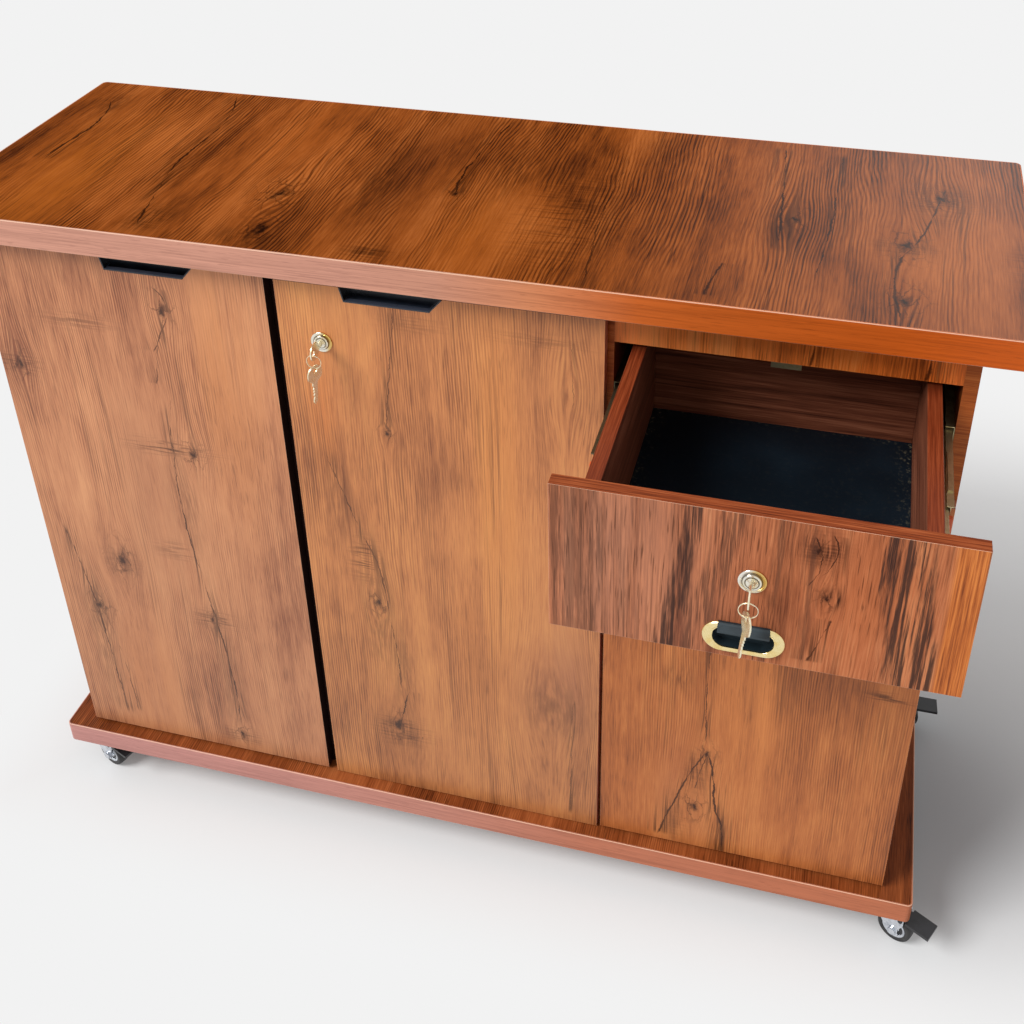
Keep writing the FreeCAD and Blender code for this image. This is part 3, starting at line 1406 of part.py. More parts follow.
# Castors: the swivel axis stands at the origin, the wheel trails to +x, the board is at zero height

race_low = "-castor_plate - race_height"
crown_high = f"{race_low} - race_gap"
crown_low = f"{crown_high} - fork_sheet"
axle_z = "wheel_radius - castor_height"

plate = new_body()
pad(plate, "xy", ("-castor_plate", "0"), (
    ("-castor_plate_long / 2", "-castor_plate_wide / 2"),
    ("castor_plate_long / 2", "-castor_plate_wide / 2"),
    ("castor_plate_long / 2", "castor_plate_wide / 2"),
    ("-castor_plate_long / 2", "castor_plate_wide / 2"),
))
soften(plate, "Fillet", "corner / 2", upright)
pad(plate, "xy", (race_low, "-castor_plate"), circles=[("0", "0", "race_radius")])
pad(plate, "xy", (f"{crown_low} - race_gap", race_low), circles=[("0", "0", "kingpin_radius")])
pad(plate, "xy", (f"{crown_low} - race_gap - kingpin_head_height", f"{crown_low} - race_gap"),
    circles=[("0", "0", "kingpin_head")])
pocket(plate, "xy", ("-castor_plate - over", "over"), circles=[
    (f"{along} * castor_hole_long", f"{side} * castor_hole_wide", "small_screw_radius + fit")
    for along in (-1, 1) for side in (-1, 1)
])


def leg_outline():
    """Side view of a fork leg from the crown to the axle eye and the pedal pin."""
    return (
        ("-fork_nose", crown_high),
        ("fork_tail", crown_high),
        ("fork_tail", "-pedal_pin_drop - fork_cheek"),
        ("castor_trail + fork_eye", f"{axle_z} + fork_eye"),
        ("castor_trail + fork_eye", f"{axle_z} - fork_eye / 2"),
        ("castor_trail + fork_eye / 2", f"{axle_z} - fork_eye"),
        ("castor_trail - fork_eye / 2", f"{axle_z} - fork_eye"),
        ("castor_trail - fork_eye", f"{axle_z} - fork_eye / 2"),
    )


fork = new_body()
leg_out = "fork_inside / 2 + fork_sheet"
pad(fork, "xz", (f"-({leg_out})", leg_out), leg_outline())
inside_half = "fork_inside / 2"
pocket(fork, "xz", (f"-{inside_half}", inside_half), (
    ("-fork_nose - over", "-castor_height"),
    ("fork_tail + over", "-castor_height"),
    ("fork_tail + over", crown_high),
    ("race_radius + kingpin_radius", crown_high),
    ("race_radius + kingpin_radius", crown_low),
    ("-fork_nose - over", crown_low),
))
pad(fork, "xy", (crown_low, crown_high), circles=[("0", "0", "fork_disc")])
pocket(fork, "xy", (f"{crown_low} - over", f"{crown_high} + over"), circles=[("0", "0", "kingpin_radius + fit")])
pocket(fork, "xz", (f"-({leg_out}) - over", f"{leg_out} + over"), circles=[
    ("pedal_pin_back", "-pedal_pin_drop", "pedal_pin + fit"),
    ("castor_trail", axle_z, "axle_radius"),
])
axle = turned((
    ("0", f"-({leg_out}) - axle_head_height"),
    ("axle_head", f"-({leg_out}) - axle_head_height"),
    ("axle_head", f"-({leg_out})"),
    ("axle_radius", f"-({leg_out})"),
    ("axle_radius", leg_out),
    ("axle_head", leg_out),
    ("axle_head", f"{leg_out} + axle_head_height"),
    ("0", f"{leg_out} + axle_head_height"),
))
axle_copy = copy(axle, "castor_trail", "0", axle_z, TURNS["-y"])
fork_set = group([fork, axle_copy])

half_wheel = "wheel_width / 2"
wheel_round = "tread_round"
wheel = turned((
    ("axle_radius + fit", f"-{half_wheel}"),
    ("axle_head + tread_round", f"-{half_wheel}"),
    ("axle_head + tread_round", f"-{half_wheel} + hub_recess"),
    ("hub_radius", f"-{half_wheel} + hub_recess"),
    ("hub_radius", f"-{half_wheel}"),
    (f"wheel_radius - {wheel_round}", f"-{half_wheel}"),
    (f"wheel_radius - {wheel_round} * tread_corner_share", f"-{half_wheel} + {wheel_round} * tread_corner_share"),
    ("wheel_radius", f"-{half_wheel} + {wheel_round}"),
    ("wheel_radius", f"{half_wheel} - {wheel_round}"),
    (f"wheel_radius - {wheel_round} * tread_corner_share", f"{half_wheel} - {wheel_round} * tread_corner_share"),
    (f"wheel_radius - {wheel_round}", half_wheel),
    ("hub_radius", half_wheel),
    ("hub_radius", f"{half_wheel} - hub_recess"),
    ("axle_head + tread_round", f"{half_wheel} - hub_recess"),
    ("axle_head + tread_round", half_wheel),
    ("axle_radius + fit", half_wheel),
))

brake = new_body()
neck = "pedal_neck / 2"
pad(brake, "xz", (f"-{neck}", neck), (
    ("pedal_pin_back - axle_radius", "-pedal_top"),
    ("pedal_pad_start + over", "-pedal_top"),
    ("pedal_pad_start + over", "-pedal_under"),
    ("pedal_pin_back + axle_radius", "-pedal_shoe"),
    ("pedal_pin_back - axle_radius", "-pedal_shoe"),
))
pedal_half = "pedal_width / 2"
pad(brake, "xz", (f"-{pedal_half}", pedal_half), (
    ("pedal_pad_start", "-pedal_top"),
    ("pedal_reach", "-pedal_end_top"),
    ("pedal_reach", "-pedal_end_bottom"),
    ("pedal_pad_start", "-pedal_under"),
))
pin_reach = "fork_inside / 2 + fork_sheet"
pad(brake, "xz", (f"-({pin_reach}) - slip", f"{pin_reach} + slip"),
    circles=[("pedal_pin_back", "-pedal_pin_drop", "pedal_pin")])
for low, high in ((f"-({pin_reach}) - slip - pedal_pin_head_height", f"-({pin_reach}) - slip"),
                  (f"{pin_reach} + slip", f"{pin_reach} + slip + pedal_pin_head_height")):
    pad(brake, "xz", (low, high), circles=[("pedal_pin_back", "-pedal_pin_drop", "pedal_pin_head")])

plates = []
for name, (x, y) in castor_spots.items():
    turn = number(f"{name}_turn")
    swing = FreeCAD.Rotation(vec(0, 0, 1), turn)
    plates.append(copy(plate, x, y, "-base_thickness"))
    node(f"{name}_castor_fork", copy(fork_set, x, y, "-base_thickness", swing))
    axle_turn = swing.multiply(TURNS["-y"])
    node(f"{name}_castor_wheel", copy(
        wheel, f"{x} + castor_trail * cos({name}_turn)", f"{y} + castor_trail * sin({name}_turn)",
        f"-base_thickness + {axle_z}", axle_turn))
    node(f"{name}_castor_brake", copy(brake, x, y, "-base_thickness", swing))
node("castor_plates", group(plates))

node("assembly_screws", group(screws))
node("fixing_screws", group(small_screws))

# Check and write

doc.recompute()
for item in doc.Objects:
    if "Invalid" in item.State or "Error" in item.State:
        raise ValueError(f"{item.Name} {item.State}")
os.makedirs("parts", exist_ok=True)
for item in nodes:
    shape = item.Shape
    if shape.isNull() or not shape.isValid():
        raise ValueError(f"{item.Label} has no valid shape")
    shape.exportStep(f"parts/{item.Label}.step")
    size = shape.BoundBox
    print(item.Label, len(shape.Solids), [round(v, 2) for v in (
        size.XMin, size.XMax, size.YMin, size.YMax, size.ZMin, size.ZMax)])
print("nodes", len(nodes))
whole = Part.makeCompound([item.Shape for item in nodes]).BoundBox
print("whole", [round(v, 3) for v in (whole.XMin, whole.XMax, whole.YMin, whole.YMax, whole.ZMin, whole.ZMax)])
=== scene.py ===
# %% [markdown]
# # A sideboard on castors, dressed step by step
# The joiner's model gives every board and fitting its place, in metres.
# This script adds what the eye needs: printed wood, softened edges, turned
# and bent metal, a camera, a lamp and a floor.
# The fixed model is loaded first, so each new piece can be set where its plain one is.

# %% Load the fixed model
import json
import math

import bmesh
import bpy
from mathutils import Euler, Matrix, Vector


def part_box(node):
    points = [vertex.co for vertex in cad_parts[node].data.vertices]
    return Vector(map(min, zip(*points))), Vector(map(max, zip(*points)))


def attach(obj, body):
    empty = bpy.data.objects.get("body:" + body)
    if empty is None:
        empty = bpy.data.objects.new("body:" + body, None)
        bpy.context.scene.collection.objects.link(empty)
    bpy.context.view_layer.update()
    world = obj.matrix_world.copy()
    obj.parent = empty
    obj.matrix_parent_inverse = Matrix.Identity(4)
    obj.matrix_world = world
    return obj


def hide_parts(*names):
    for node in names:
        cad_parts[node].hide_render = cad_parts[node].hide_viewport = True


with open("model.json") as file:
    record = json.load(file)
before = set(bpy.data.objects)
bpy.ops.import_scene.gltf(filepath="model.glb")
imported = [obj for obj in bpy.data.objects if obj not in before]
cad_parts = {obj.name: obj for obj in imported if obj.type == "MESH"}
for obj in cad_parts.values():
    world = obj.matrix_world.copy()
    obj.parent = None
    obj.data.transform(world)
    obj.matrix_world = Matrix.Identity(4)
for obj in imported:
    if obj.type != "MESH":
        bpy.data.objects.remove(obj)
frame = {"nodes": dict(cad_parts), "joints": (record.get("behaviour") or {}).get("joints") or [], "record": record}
NODES = frame["nodes"]
JOINTS = {joint["name"]: joint for joint in frame["joints"]}
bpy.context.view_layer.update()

# %% [markdown]
# ## The camera
# The sideboard is seen from the front, a little from the right, from above eye height.
# A camera can be aimed by eye, but here its place, turn and lens were worked out from
# straight edges whose lengths are known, because only that puts every corner right.
# The centre of the picture is cropped off the lens axis, which the shift gives back.

# %% Camera
FOCAL = 1293.76
CENTRE = (529.83, 296.73)
SIDE = 1024
view = bpy.data.cameras.new("view")
view.sensor_width = 36
view.lens = FOCAL / SIDE * 36
view.shift_x = (SIDE / 2 - CENTRE[0]) / SIDE
view.shift_y = (CENTRE[1] - SIDE / 2) / SIDE
view.clip_end = 60
camera = bpy.data.objects.new("view", view)
camera.location = (0.4387, -1.2691, 1.7284)
camera.rotation_euler = Euler([math.radians(a) for a in (59.582, 0.845, 14.846)])
bpy.context.scene.collection.objects.link(camera)
bpy.context.scene.camera = camera
print("lens", round(view.lens, 2), "shift", round(view.shift_x, 4), round(view.shift_y, 4))

# %% [markdown]
# ## A hand for building finishes
# A finish is a net of shader nodes. Made one by one, such a net hides its own idea,
# so a small class lets a socket be added and multiplied like a number, and one method
# makes any other node from its type, settings and values. Grown shapes use it as well.

# %% Sockets that behave like numbers
class Wire:
    def __init__(self, net, socket):
        self.net = net
        self.socket = socket

    def __add__(self, other):
        return self.net.math("ADD", self, other)

    def __sub__(self, other):
        return self.net.math("SUBTRACT", self, other)

    def __rsub__(self, other):
        return self.net.math("SUBTRACT", other, self)

    def __mul__(self, other):
        return self.net.math("MULTIPLY", self, other)

    def __truediv__(self, other):
        return self.net.math("DIVIDE", self, other)

    __radd__ = __add__
    __rmul__ = __mul__


class Net:
    """A tree of nodes, each made from its type, its settings and its values."""

    def node(self, kind, settings=None, values=None, out=0):
        made = self.tree.nodes.new(kind)
        for key, value in (settings or {}).items():
            if key == "stops":
                ramp = made.color_ramp.elements
                while len(ramp) < len(value):
                    ramp.new(0.5)
                for stop, (place, colour) in zip(ramp, value):
                    stop.position = place
                    stop.color = colour
            elif key == "line":
                points = made.mapping.curves[0].points
                while len(points) < len(value):
                    points.new(0.5, 0.5)
                for point, (across, up) in zip(points, value):
                    point.location = (across, up)
                    point.handle_type = "AUTO"
                made.mapping.update()
            else:
                setattr(made, key, value)
        for key, value in (values or {}).items():
            if isinstance(value, Wire):
                self.tree.links.new(value.socket, made.inputs[key])
            else:
                made.inputs[key].default_value = value
        return Wire(self, made.outputs[out]) if made.outputs else None

    def math(self, operation, first, second=0.0):
        return self.node("ShaderNodeMath", {"operation": operation}, {0: first, 1: second})

    def most(self, first, *others):
        for other in others:
            first = self.math("MAXIMUM", first, other)
        return first

    def least(self, first, second):
        return self.math("MINIMUM", first, second)


def paint(red, green, blue):
    """A colour as a paint chart gives it, 0 to 255, turned to the renderer's light values."""
    shares = [c / 255 for c in (red, green, blue)]
    return tuple(c / 12.92 if c < 0.04045 else ((c + 0.055) / 1.055) ** 2.4 for c in shares) + (1,)


class Finish(Net):
    """The nodes of a material, or of the world where one is given."""

    def __init__(self, name, owner=None):
        self.owner = owner or bpy.data.materials.new(name)
        self.owner.use_nodes = True
        self.tree = self.owner.node_tree
        self.tree.nodes.clear()

    def place(self):
        """The point on the piece, as three numbers in metres."""
        spot = self.node("ShaderNodeTexCoord", out="Object")
        return [self.node("ShaderNodeSeparateXYZ", None, {0: spot}, out=i) for i in range(3)]

    def facing(self, axis):
        """How squarely the surface faces along the piece's own axis, from 0 to 1."""
        normal = self.node("ShaderNodeTexCoord", out="Normal")
        share = self.node("ShaderNodeSeparateXYZ", None, {0: normal}, out=axis)
        return self.math("ABSOLUTE", share)

    def vector(self, x, y, z):
        return self.node("ShaderNodeCombineXYZ", None, {0: x, 1: y, 2: z})

    def noise(self, spot, detail=2.0, roughness=0.5):
        """Cloudy noise from 0 to 1 at a spot of three numbers."""
        return self.node("ShaderNodeTexNoise", None, {
            "Vector": self.vector(*spot), "Scale": 1.0, "Detail": detail, "Roughness": roughness})

    def speckle(self, size, detail=2.0, roughness=0.5):
        """Cloudy noise over the piece with the same grain every way."""
        return self.noise([side * size for side in self.place()], detail, roughness)

    def rise(self, value, low, high, start=0.0, end=1.0):
        """A smooth step from start to end while value goes from low to high."""
        return self.node("ShaderNodeMapRange", {"interpolation_type": "SMOOTHSTEP"}, {
            "Value": value, "From Min": low, "From Max": high, "To Min": start, "To Max": end})

    def ramp(self, value, *stops):
        """A colour read off a scale of (place, colour) stops."""
        return self.node("ShaderNodeValToRGB", {"stops": stops}, {0: value})

    def shades(self, value, spread, dark, middle, light):
        """A ramp of three colours with the middle one at 0.5."""
        return self.ramp(value, (0.5 - spread, dark), (0.5, middle), (0.5 + spread, light))

    def hairline(self, square, low=(0.2, 0.35), high=(0.86, 0.97)):
        """1 on the narrow slanted faces of a trimmed corner."""
        return self.rise(square, *low) * self.rise(square, *high, 1.0, 0.0)

    def mix(self, first, second, share, way="MIX"):
        return self.node("ShaderNodeMix", {"data_type": "RGBA", "blend_type": way}, {
            0: share, 6: first, 7: second}, out=2)

    def done(self, colour, roughness, metallic=0.0, bump=None, depth=0.0002, coat=0.0, level=0.5):
        values = {"Base Color": colour, "Roughness": roughness, "Metallic": metallic,
                  "Coat Weight": coat, "Coat Roughness": 0.12, "Specular IOR Level": level}
        if bump is not None:
            values["Normal"] = self.node("ShaderNodeBump", None, {
                "Height": bump, "Distance": depth, "Strength": 1.0})
        return self.ended(self.node("ShaderNodeBsdfPrincipled", None, values))

    def ended(self, shader, kind="ShaderNodeOutputMaterial"):
        """Lead a shader to the output and hand back the material or world."""
        self.node(kind, None, {"Surface": shader})
        return self.owner


print("finish builder ready")

# %% [markdown]
# ## Printed wood
# The boards carry a printed rosewood foil: streaks that run with the grain, clouds of
# darker tone, growth rings, fine fibres, knots that push the grain aside, long black
# cracks and short marks across the grain, as from a saw.
# A picture of wood would be the usual way. Here each of them is one term of a formula,
# so the grain has no seams or repeats and every board can have its own knots and cracks
# where the real one has them.

# %% The parts of a wood print
BELL = 2.718
FULL_TURN = 6.283
GRAIN_WAVES = 0.022
CRACK_WAVER = 0.009
DARKEST = 0.96
MARK_SHADE = (0.16, 0.15, 0.16, 1)
FACE_SHARE = (0.55, 0.7)


def near(finish, side, up):
    """1 at a spot, falling off round it like a bell."""
    return finish.math("POWER", BELL, -1 * (side * side + up * up))


def grain(finish, across, along, depth, knots=()):
    """The across-the-grain coordinate, bent by slow waves and pushed aside by knots."""
    waves = finish.noise((across * 5, along * 1.7, depth * 3), 1)
    bent = across + GRAIN_WAVES * (waves - 0.5)
    for knot_across, knot_along, size in knots:
        side = across - knot_across
        bent = bent - side * near(finish, side / size, (along - knot_along) / (size * 2.4)) * 0.75
    return bent


def crack(finish, across, along, points, width=0.0022, strength=1.0, strokes=0.5):
    """A dark split through the points, given from its lower end to its upper end."""
    low, high = points[0][1], points[-1][1]
    sides = [p[0] for p in points]
    least, room = min(sides) - 0.01, max(sides) - min(sides) + 0.02
    shares = [((p[1] - low) / (high - low), (p[0] - least) / room) for p in points]
    travel = (along - low) / (high - low)
    middle = finish.node("ShaderNodeFloatCurve", {"line": shares}, {"Value": travel}) * room + least
    waver = finish.noise((along * 42, across * 8, low * 9), 5, 0.72)
    off = finish.math("ABSOLUTE", across - middle + CRACK_WAVER * (waver - 0.5))
    body = finish.noise((along * 26, 3.1, high * 7), 3, 0.6)
    wide = width * finish.rise(body, 0.34, 0.7, 0.15, 1.05)
    core = finish.rise(off / wide, 0.2, 1.0, 1.0, 0.0) * finish.rise(body, 0.3, 0.5, 0.3, 1.0)
    stain = finish.rise(off / (width * 9), 0.0, 1.0, 0.85, 0.0) * strokes
    ends = finish.rise(travel, 0.0, 0.06) * finish.rise(travel, 0.94, 1.0, 1.0, 0.0)
    return finish.most(core, stain) * ends * strength


def hearts(finish, across, along, knots, seed):
    """Ragged dark hearts of knots, with short splits running out of them."""
    ragged, shaken = [finish.noise((across * 75, along * 45, start), 4, 0.7) - 0.5
                      for start in (seed, seed + 5)]
    cell = finish.vector((across + ragged * 0.014) * 80, (along + shaken * 0.03) * 30, seed)
    gap = finish.node("ShaderNodeTexVoronoi", {"feature": "DISTANCE_TO_EDGE"},
                      {"Vector": cell, "Scale": 1.0})
    splits = finish.rise(gap, 0.0, 0.075, 1.0, 0.0)
    found = []
    for knot_across, knot_along, size in knots:
        side = (across - knot_across + ragged * size * 1.1) / size
        up = (along - knot_along + shaken * size * 1.6) / (size * 1.6)
        torn = splits * near(finish, side * 1.1, up * 1.1) * 0.85
        found.append(finish.most(near(finish, side * 3.6, up * 3.6), torn))
    return finish.most(*found)


def smudge(finish, across, along, spot, size, strength=0.6, hatch=0.0):
    """A soft dark patch, broken up with the grain, or across it where hatch is above 0."""
    patch = near(finish, (across - spot[0]) / size[0], (along - spot[1]) / size[1])
    fine = (across * 420, along * 26, spot[0] * 5)
    marks = finish.rise(finish.noise(fine, 3, 0.6), 0.34, 0.62)
    if hatch:
        cross = (across * 24, along * 330, spot[1] * 5)
        marks = marks * (1 - hatch) + finish.rise(finish.noise(cross, 2), 0.42, 0.62) * hatch
    return patch * marks * strength


def wood_print(finish, across, along, depth, tones, knots=(), swirls=(), cracks=(), smudges=(),
               tints=(), seed=0.0, streak=1.0, cloud=1.0, pores=0.35, lines=0.4,
               rings=0.2, ring_count=300, sway=9.0):
    """The colour of the print, its height and its tone, from dark, middle and light tones."""
    bent = grain(finish, across, along, depth, list(knots) + list(swirls))
    clouds = finish.noise((bent * 8, along * 3.0, depth * 4 + seed), 4, 0.6)
    bands = finish.noise((bent * 48, along * 1.3, depth * 6 + seed), 3, 0.6)
    strands = finish.noise((bent * 260, along * 4.5, seed + 3), 3, 0.65)
    fibres = finish.noise((bent * 800, along * 26, seed + 7), 3, 0.6)
    tone = 0.5 + (clouds - 0.5) * 0.95 * cloud + (bands - 0.5) * 0.42 * streak
    zones = finish.noise((bent * 12, along * 2.2, seed + 5), 2)
    zones = finish.rise(zones, 0.42, 0.6)
    drift = finish.noise((across * 6, along * 1.9, seed + 13), 4, 0.5)
    turns = bent * (ring_count * FULL_TURN) + drift * (sway * FULL_TURN)
    ring = finish.math("SINE", turns + strands * 3)
    tone = tone + (strands - 0.5) * 0.34 + (fibres - 0.5) * 0.62
    tone = tone - (finish.rise(ring, -0.6, 1.0) - 0.4) * (0.15 + zones * 0.85) * rings
    colour = finish.shades(tone, 0.3, *tones)
    for shade, spot, size, strength in tints:
        patch = near(finish, (bent - spot[0]) / size[0], (along - spot[1]) / size[1])
        patch = patch * finish.rise(bands, 0.3, 0.6, 0.4, 1.0) * strength
        colour = finish.mix(colour, shade, patch)
    late = finish.noise((bent * 340, along * 3.4, seed + 9), 3, 0.7)
    pits = finish.noise((bent * 560, along * 22, seed + 11), 1)
    pits = finish.rise(pits, 0.6, 0.7) * finish.rise(clouds, 0.42, 0.6, 1.0, 0.25) * pores
    marks = [finish.rise(late, 0.5, 0.64) * zones * lines, pits]
    strokes = finish.rise(strands, 0.5, 0.6)
    marks += [crack(finish, across, along, *split, strokes) for split in cracks]
    marks += [smudge(finish, bent, along, *patch) for patch in smudges]
    if knots:
        marks.append(hearts(finish, across, along, knots, seed))
    marks = finish.least(finish.most(*marks), DARKEST)
    dark = tuple(tone * share for tone, share in zip(tones[0], MARK_SHADE))
    height = (strands - 0.5) * 0.5 + (fibres - 0.5) * 0.6
    return finish.mix(colour, dark, marks), height, tone


print("wood print ready")

# %% [markdown]
# ## Edges
# The boards' cut edges carry a thin red-brown strip with its grain along the edge, and
# where strip and face meet, the trimmed corner shows as a hairline of pale core.
# The strip could be painted by hand. It is found here from which way a face points,
# so it follows every edge, and the hairline falls on the narrow slanted faces.

# %% Edge strip over a wood print
def strip(finish, tones, seed=0.0):
    """The grain of an edge strip: fine lines along the edge, whichever way that runs."""
    x, y, z = finish.place()
    fine = finish.noise((x * 9 + seed, y * 9, z * 700), 3, 0.6)
    broad = finish.noise((x * 4, y * 4 + seed, z * 170), 2)
    pits = finish.rise(finish.noise((x * 45, y * 45, z * 900), 1), 0.62, 0.7)
    tone = 0.5 + (fine - 0.5) * 0.7 + (broad - 0.5) * 0.45
    colour = finish.shades(tone, 0.25, *tones)
    return finish.mix(colour, tones[0], pits * 0.6), fine


def board(name, face_axis, across, along, tones, edge_tones, pale, rough=0.42, level=0.4,
          sheen=None, shade=None, gap=None, **print_settings):
    """A printed board whose face looks along face_axis, with its edge strip and hairline, painted shade on the
    edge strips beside a given door gap, and painted shade towards the board's foot where shade is given.
    """
    finish = Finish(name)
    spot = finish.place()
    face, height, tone = wood_print(
        finish, spot[across], spot[along], spot[face_axis], tones, **print_settings)
    edge = strip(finish, edge_tones, print_settings["seed"])[0]
    square = finish.facing(face_axis)
    hairline = finish.hairline(square)
    worn = finish.noise([side * 30 for side in spot], 3)
    worn = finish.rise(worn, 0.36, 0.6)
    # painted shade: the sideways-facing edge strips beside the door gap are darkened almost to black
    if gap:
        gap_shade = finish.rise(finish.math("ABSOLUTE", spot[0] - gap), 0.015, 0.02, 1.0, 0.0)
        gap_shade = gap_shade * finish.rise(finish.facing(0), 0.7, 0.9)
        edge = finish.mix(edge, paint(36, 15, 9), gap_shade)
    # painted shade: the face is darkened towards the foot of the board
    if shade:
        low, high, darkest = shade
        share = finish.rise(spot[along], low, high, 1.0, 0.0)
        face = finish.mix(face, (darkest,) * 3 + (1,), share, "MULTIPLY")
    colour = finish.mix(edge, face, finish.rise(square, *FACE_SHARE))
    colour = finish.mix(colour, pale, hairline * (0.35 + worn * 0.6))
    coat = finish.rise(spot[0], *sheen) if sheen else 0.0
    return finish.done(colour, rough + (tone - 0.5) * 0.12, bump=height, depth=PRINT_DEPTH,
                       level=level, coat=coat)


PRINT_DEPTH = 0.00012
EDGE_TONES = (paint(150, 82, 62), paint(184, 112, 86), paint(206, 142, 116))
PALE = paint(226, 186, 160)
print("edge strip ready")

# %% [markdown]
# ## The boards and their figure
# Each front shows its own figure: the left door a long split wandering down its
# middle, the middle door a bundle of splits and a knot near its foot, the lower door
# a split that forks, the drawer front dark heartwood bands and an eye-shaped knot.
# The points below are where a joiner would mark them, in metres across and up the board.

# %% Door finishes
DOOR_GAP = (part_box("left_door_panel")[1][0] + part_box("middle_door_panel")[0][0]) / 2
left_wood = board(
    "left_door_wood", 1, 0, 2, (paint(138, 80, 54), paint(196, 130, 90), paint(220, 154, 108)),
    EDGE_TONES, PALE, seed=1.0, shade=(0.1, 0.95, 0.8), gap=DOOR_GAP,
    knots=[(-0.365, 0.679, 0.02), (-0.512, 0.463, 0.026), (-0.382, 0.376, 0.016),
           (-0.569, 0.362, 0.026), (-0.372, 0.902, 0.02), (-0.366, 0.14, 0.02), (-0.6, 0.79, 0.02)],
    cracks=[([(-0.366, 0.149), (-0.365, 0.247), (-0.377, 0.387), (-0.387, 0.471), (-0.396, 0.561),
              (-0.394, 0.682), (-0.375, 0.775)], 0.0024, 0.9),
            ([(-0.396, 0.837), (-0.38, 0.866), (-0.365, 0.912), (-0.388, 0.938)], 0.0028, 0.85),
            ([(-0.4, 0.787), (-0.386, 0.85)], 0.0018, 0.7),
            ([(-0.564, 0.128), (-0.566, 0.205), (-0.574, 0.362), (-0.582, 0.43), (-0.6, 0.52)],
             0.0034, 0.85),
            ([(-0.545, 0.14), (-0.548, 0.25), (-0.566, 0.36)], 0.002, 0.7)],
    smudges=[((-0.4, 0.684), (0.055, 0.012), 0.85, 0.8), ((-0.375, 0.376), (0.035, 0.018), 0.7, 0.7),
             ((-0.512, 0.46), (0.026, 0.03), 0.6, 0.2), ((-0.369, 0.135), (0.03, 0.018), 0.7, 0.5),
             ((-0.6, 0.79), (0.03, 0.016), 0.6, 0.9), ((-0.42, 0.5), (0.03, 0.015), 0.5, 0.8),
             ((-0.5, 0.87), (0.05, 0.012), 0.45, 0.9), ((-0.39, 0.6), (0.02, 0.1), 0.4, 0.0),
             ((-0.575, 0.3), (0.02, 0.12), 0.5, 0.0), ((-0.37, 0.25), (0.02, 0.1), 0.4, 0.0)],
    tints=[(paint(206, 132, 76), (-0.3, 0.8), (0.05, 0.2), 0.55),
           (paint(204, 128, 76), (-0.5, 0.22), (0.06, 0.14), 0.5),
           (paint(170, 112, 80), (-0.44, 0.6), (0.05, 0.2), 0.45)])
middle_wood = board(
    "middle_door_wood", 1, 0, 2, (paint(134, 76, 44), paint(197, 125, 74), paint(222, 150, 88)),
    EDGE_TONES, PALE, seed=4.0, shade=(0.1, 0.95, 0.79), gap=DOOR_GAP,
    knots=[(-0.103, 0.233, 0.024), (-0.084, 0.765, 0.012), (-0.118, 0.47, 0.018)],
    swirls=[(0.125, 0.33, 0.05), (0.15, 0.86, 0.03)],
    cracks=[([(-0.084, 0.769), (-0.07, 0.89), (-0.063, 0.947)], 0.0018, 0.8),
            ([(-0.094, 0.3), (-0.098, 0.4), (-0.103, 0.45), (-0.111, 0.532), (-0.134, 0.597),
              (-0.176, 0.737)], 0.0026, 0.8),
            ([(-0.105, 0.22), (-0.094, 0.27), (-0.082, 0.311)], 0.0032, 0.9),
            ([(-0.11, 0.2), (-0.066, 0.218)], 0.0026, 0.85),
            ([(0.153, 0.115), (0.157, 0.36)], 0.0014, 0.8),
            ([(0.156, 0.84), (0.154, 0.937)], 0.0014, 0.6)],
    smudges=[((-0.128, 0.546), (0.02, 0.04), 0.8, 0.9), ((-0.1, 0.222), (0.035, 0.03), 0.8, 0.5),
             ((-0.12, 0.45), (0.02, 0.12), 0.55, 0.0), ((-0.16, 0.66), (0.02, 0.08), 0.45, 0.0),
             ((0.13, 0.33), (0.03, 0.06), 0.4, 0.0), ((-0.04, 0.93), (0.04, 0.012), 0.4, 0.6),
             ((-0.09, 0.35), (0.016, 0.1), 0.5, 0.0), ((0.12, 0.93), (0.05, 0.01), 0.35, 0.9)],
    tints=[(paint(216, 136, 66), (0.06, 0.72), (0.035, 0.24), 0.5),
           (paint(206, 128, 68), (0.02, 0.36), (0.04, 0.16), 0.4),
           (paint(206, 120, 60), (-0.17, 0.78), (0.02, 0.08), 0.6),
           (paint(166, 106, 78), (0.14, 0.4), (0.04, 0.12), 0.5)])
lower_wood = board(
    "lower_door_wood", 1, 0, 2, (paint(118, 62, 32), paint(170, 97, 50), paint(198, 124, 68)),
    EDGE_TONES, PALE, level=0.25, seed=9.0,
    knots=[(0.343, 0.3, 0.016), (0.33, 0.19, 0.022)],
    cracks=[([(0.342, 0.314), (0.337, 0.409), (0.338, 0.485), (0.339, 0.6), (0.345, 0.75)],
             0.002, 0.85),
            ([(0.281, 0.113), (0.297, 0.173), (0.317, 0.24), (0.343, 0.307)], 0.0036, 0.9),
            ([(0.372, 0.097), (0.371, 0.161), (0.36, 0.193), (0.354, 0.26), (0.343, 0.307)],
             0.0038, 0.95),
            ([(0.33, 0.225), (0.338, 0.27), (0.343, 0.3)], 0.0022, 0.8)],
    smudges=[((0.295, 0.436), (0.02, 0.022), 0.75, 0.0), ((0.565, 0.466), (0.03, 0.008), 0.85, 0.9),
             ((0.332, 0.26), (0.016, 0.04), 0.7, 0.2), ((0.31, 0.15), (0.02, 0.05), 0.6, 0.2),
             ((0.37, 0.13), (0.012, 0.05), 0.6, 0.0)],
    tints=[(paint(212, 132, 70), (0.4, 0.4), (0.04, 0.12), 0.5),
           (paint(160, 92, 58), (0.31, 0.2), (0.04, 0.12), 0.5)])
print("door finishes ready")

# %% [markdown]
# ## The drawer front
# The drawer front was cut from another sheet: redder, with broad dark bands of
# heartwood, short dark flecks and a plain orange strip at its right end.
# The bands are soft steps across the board, roughened by the same streaks as the
# grain, so their borders feather the way the print's do.

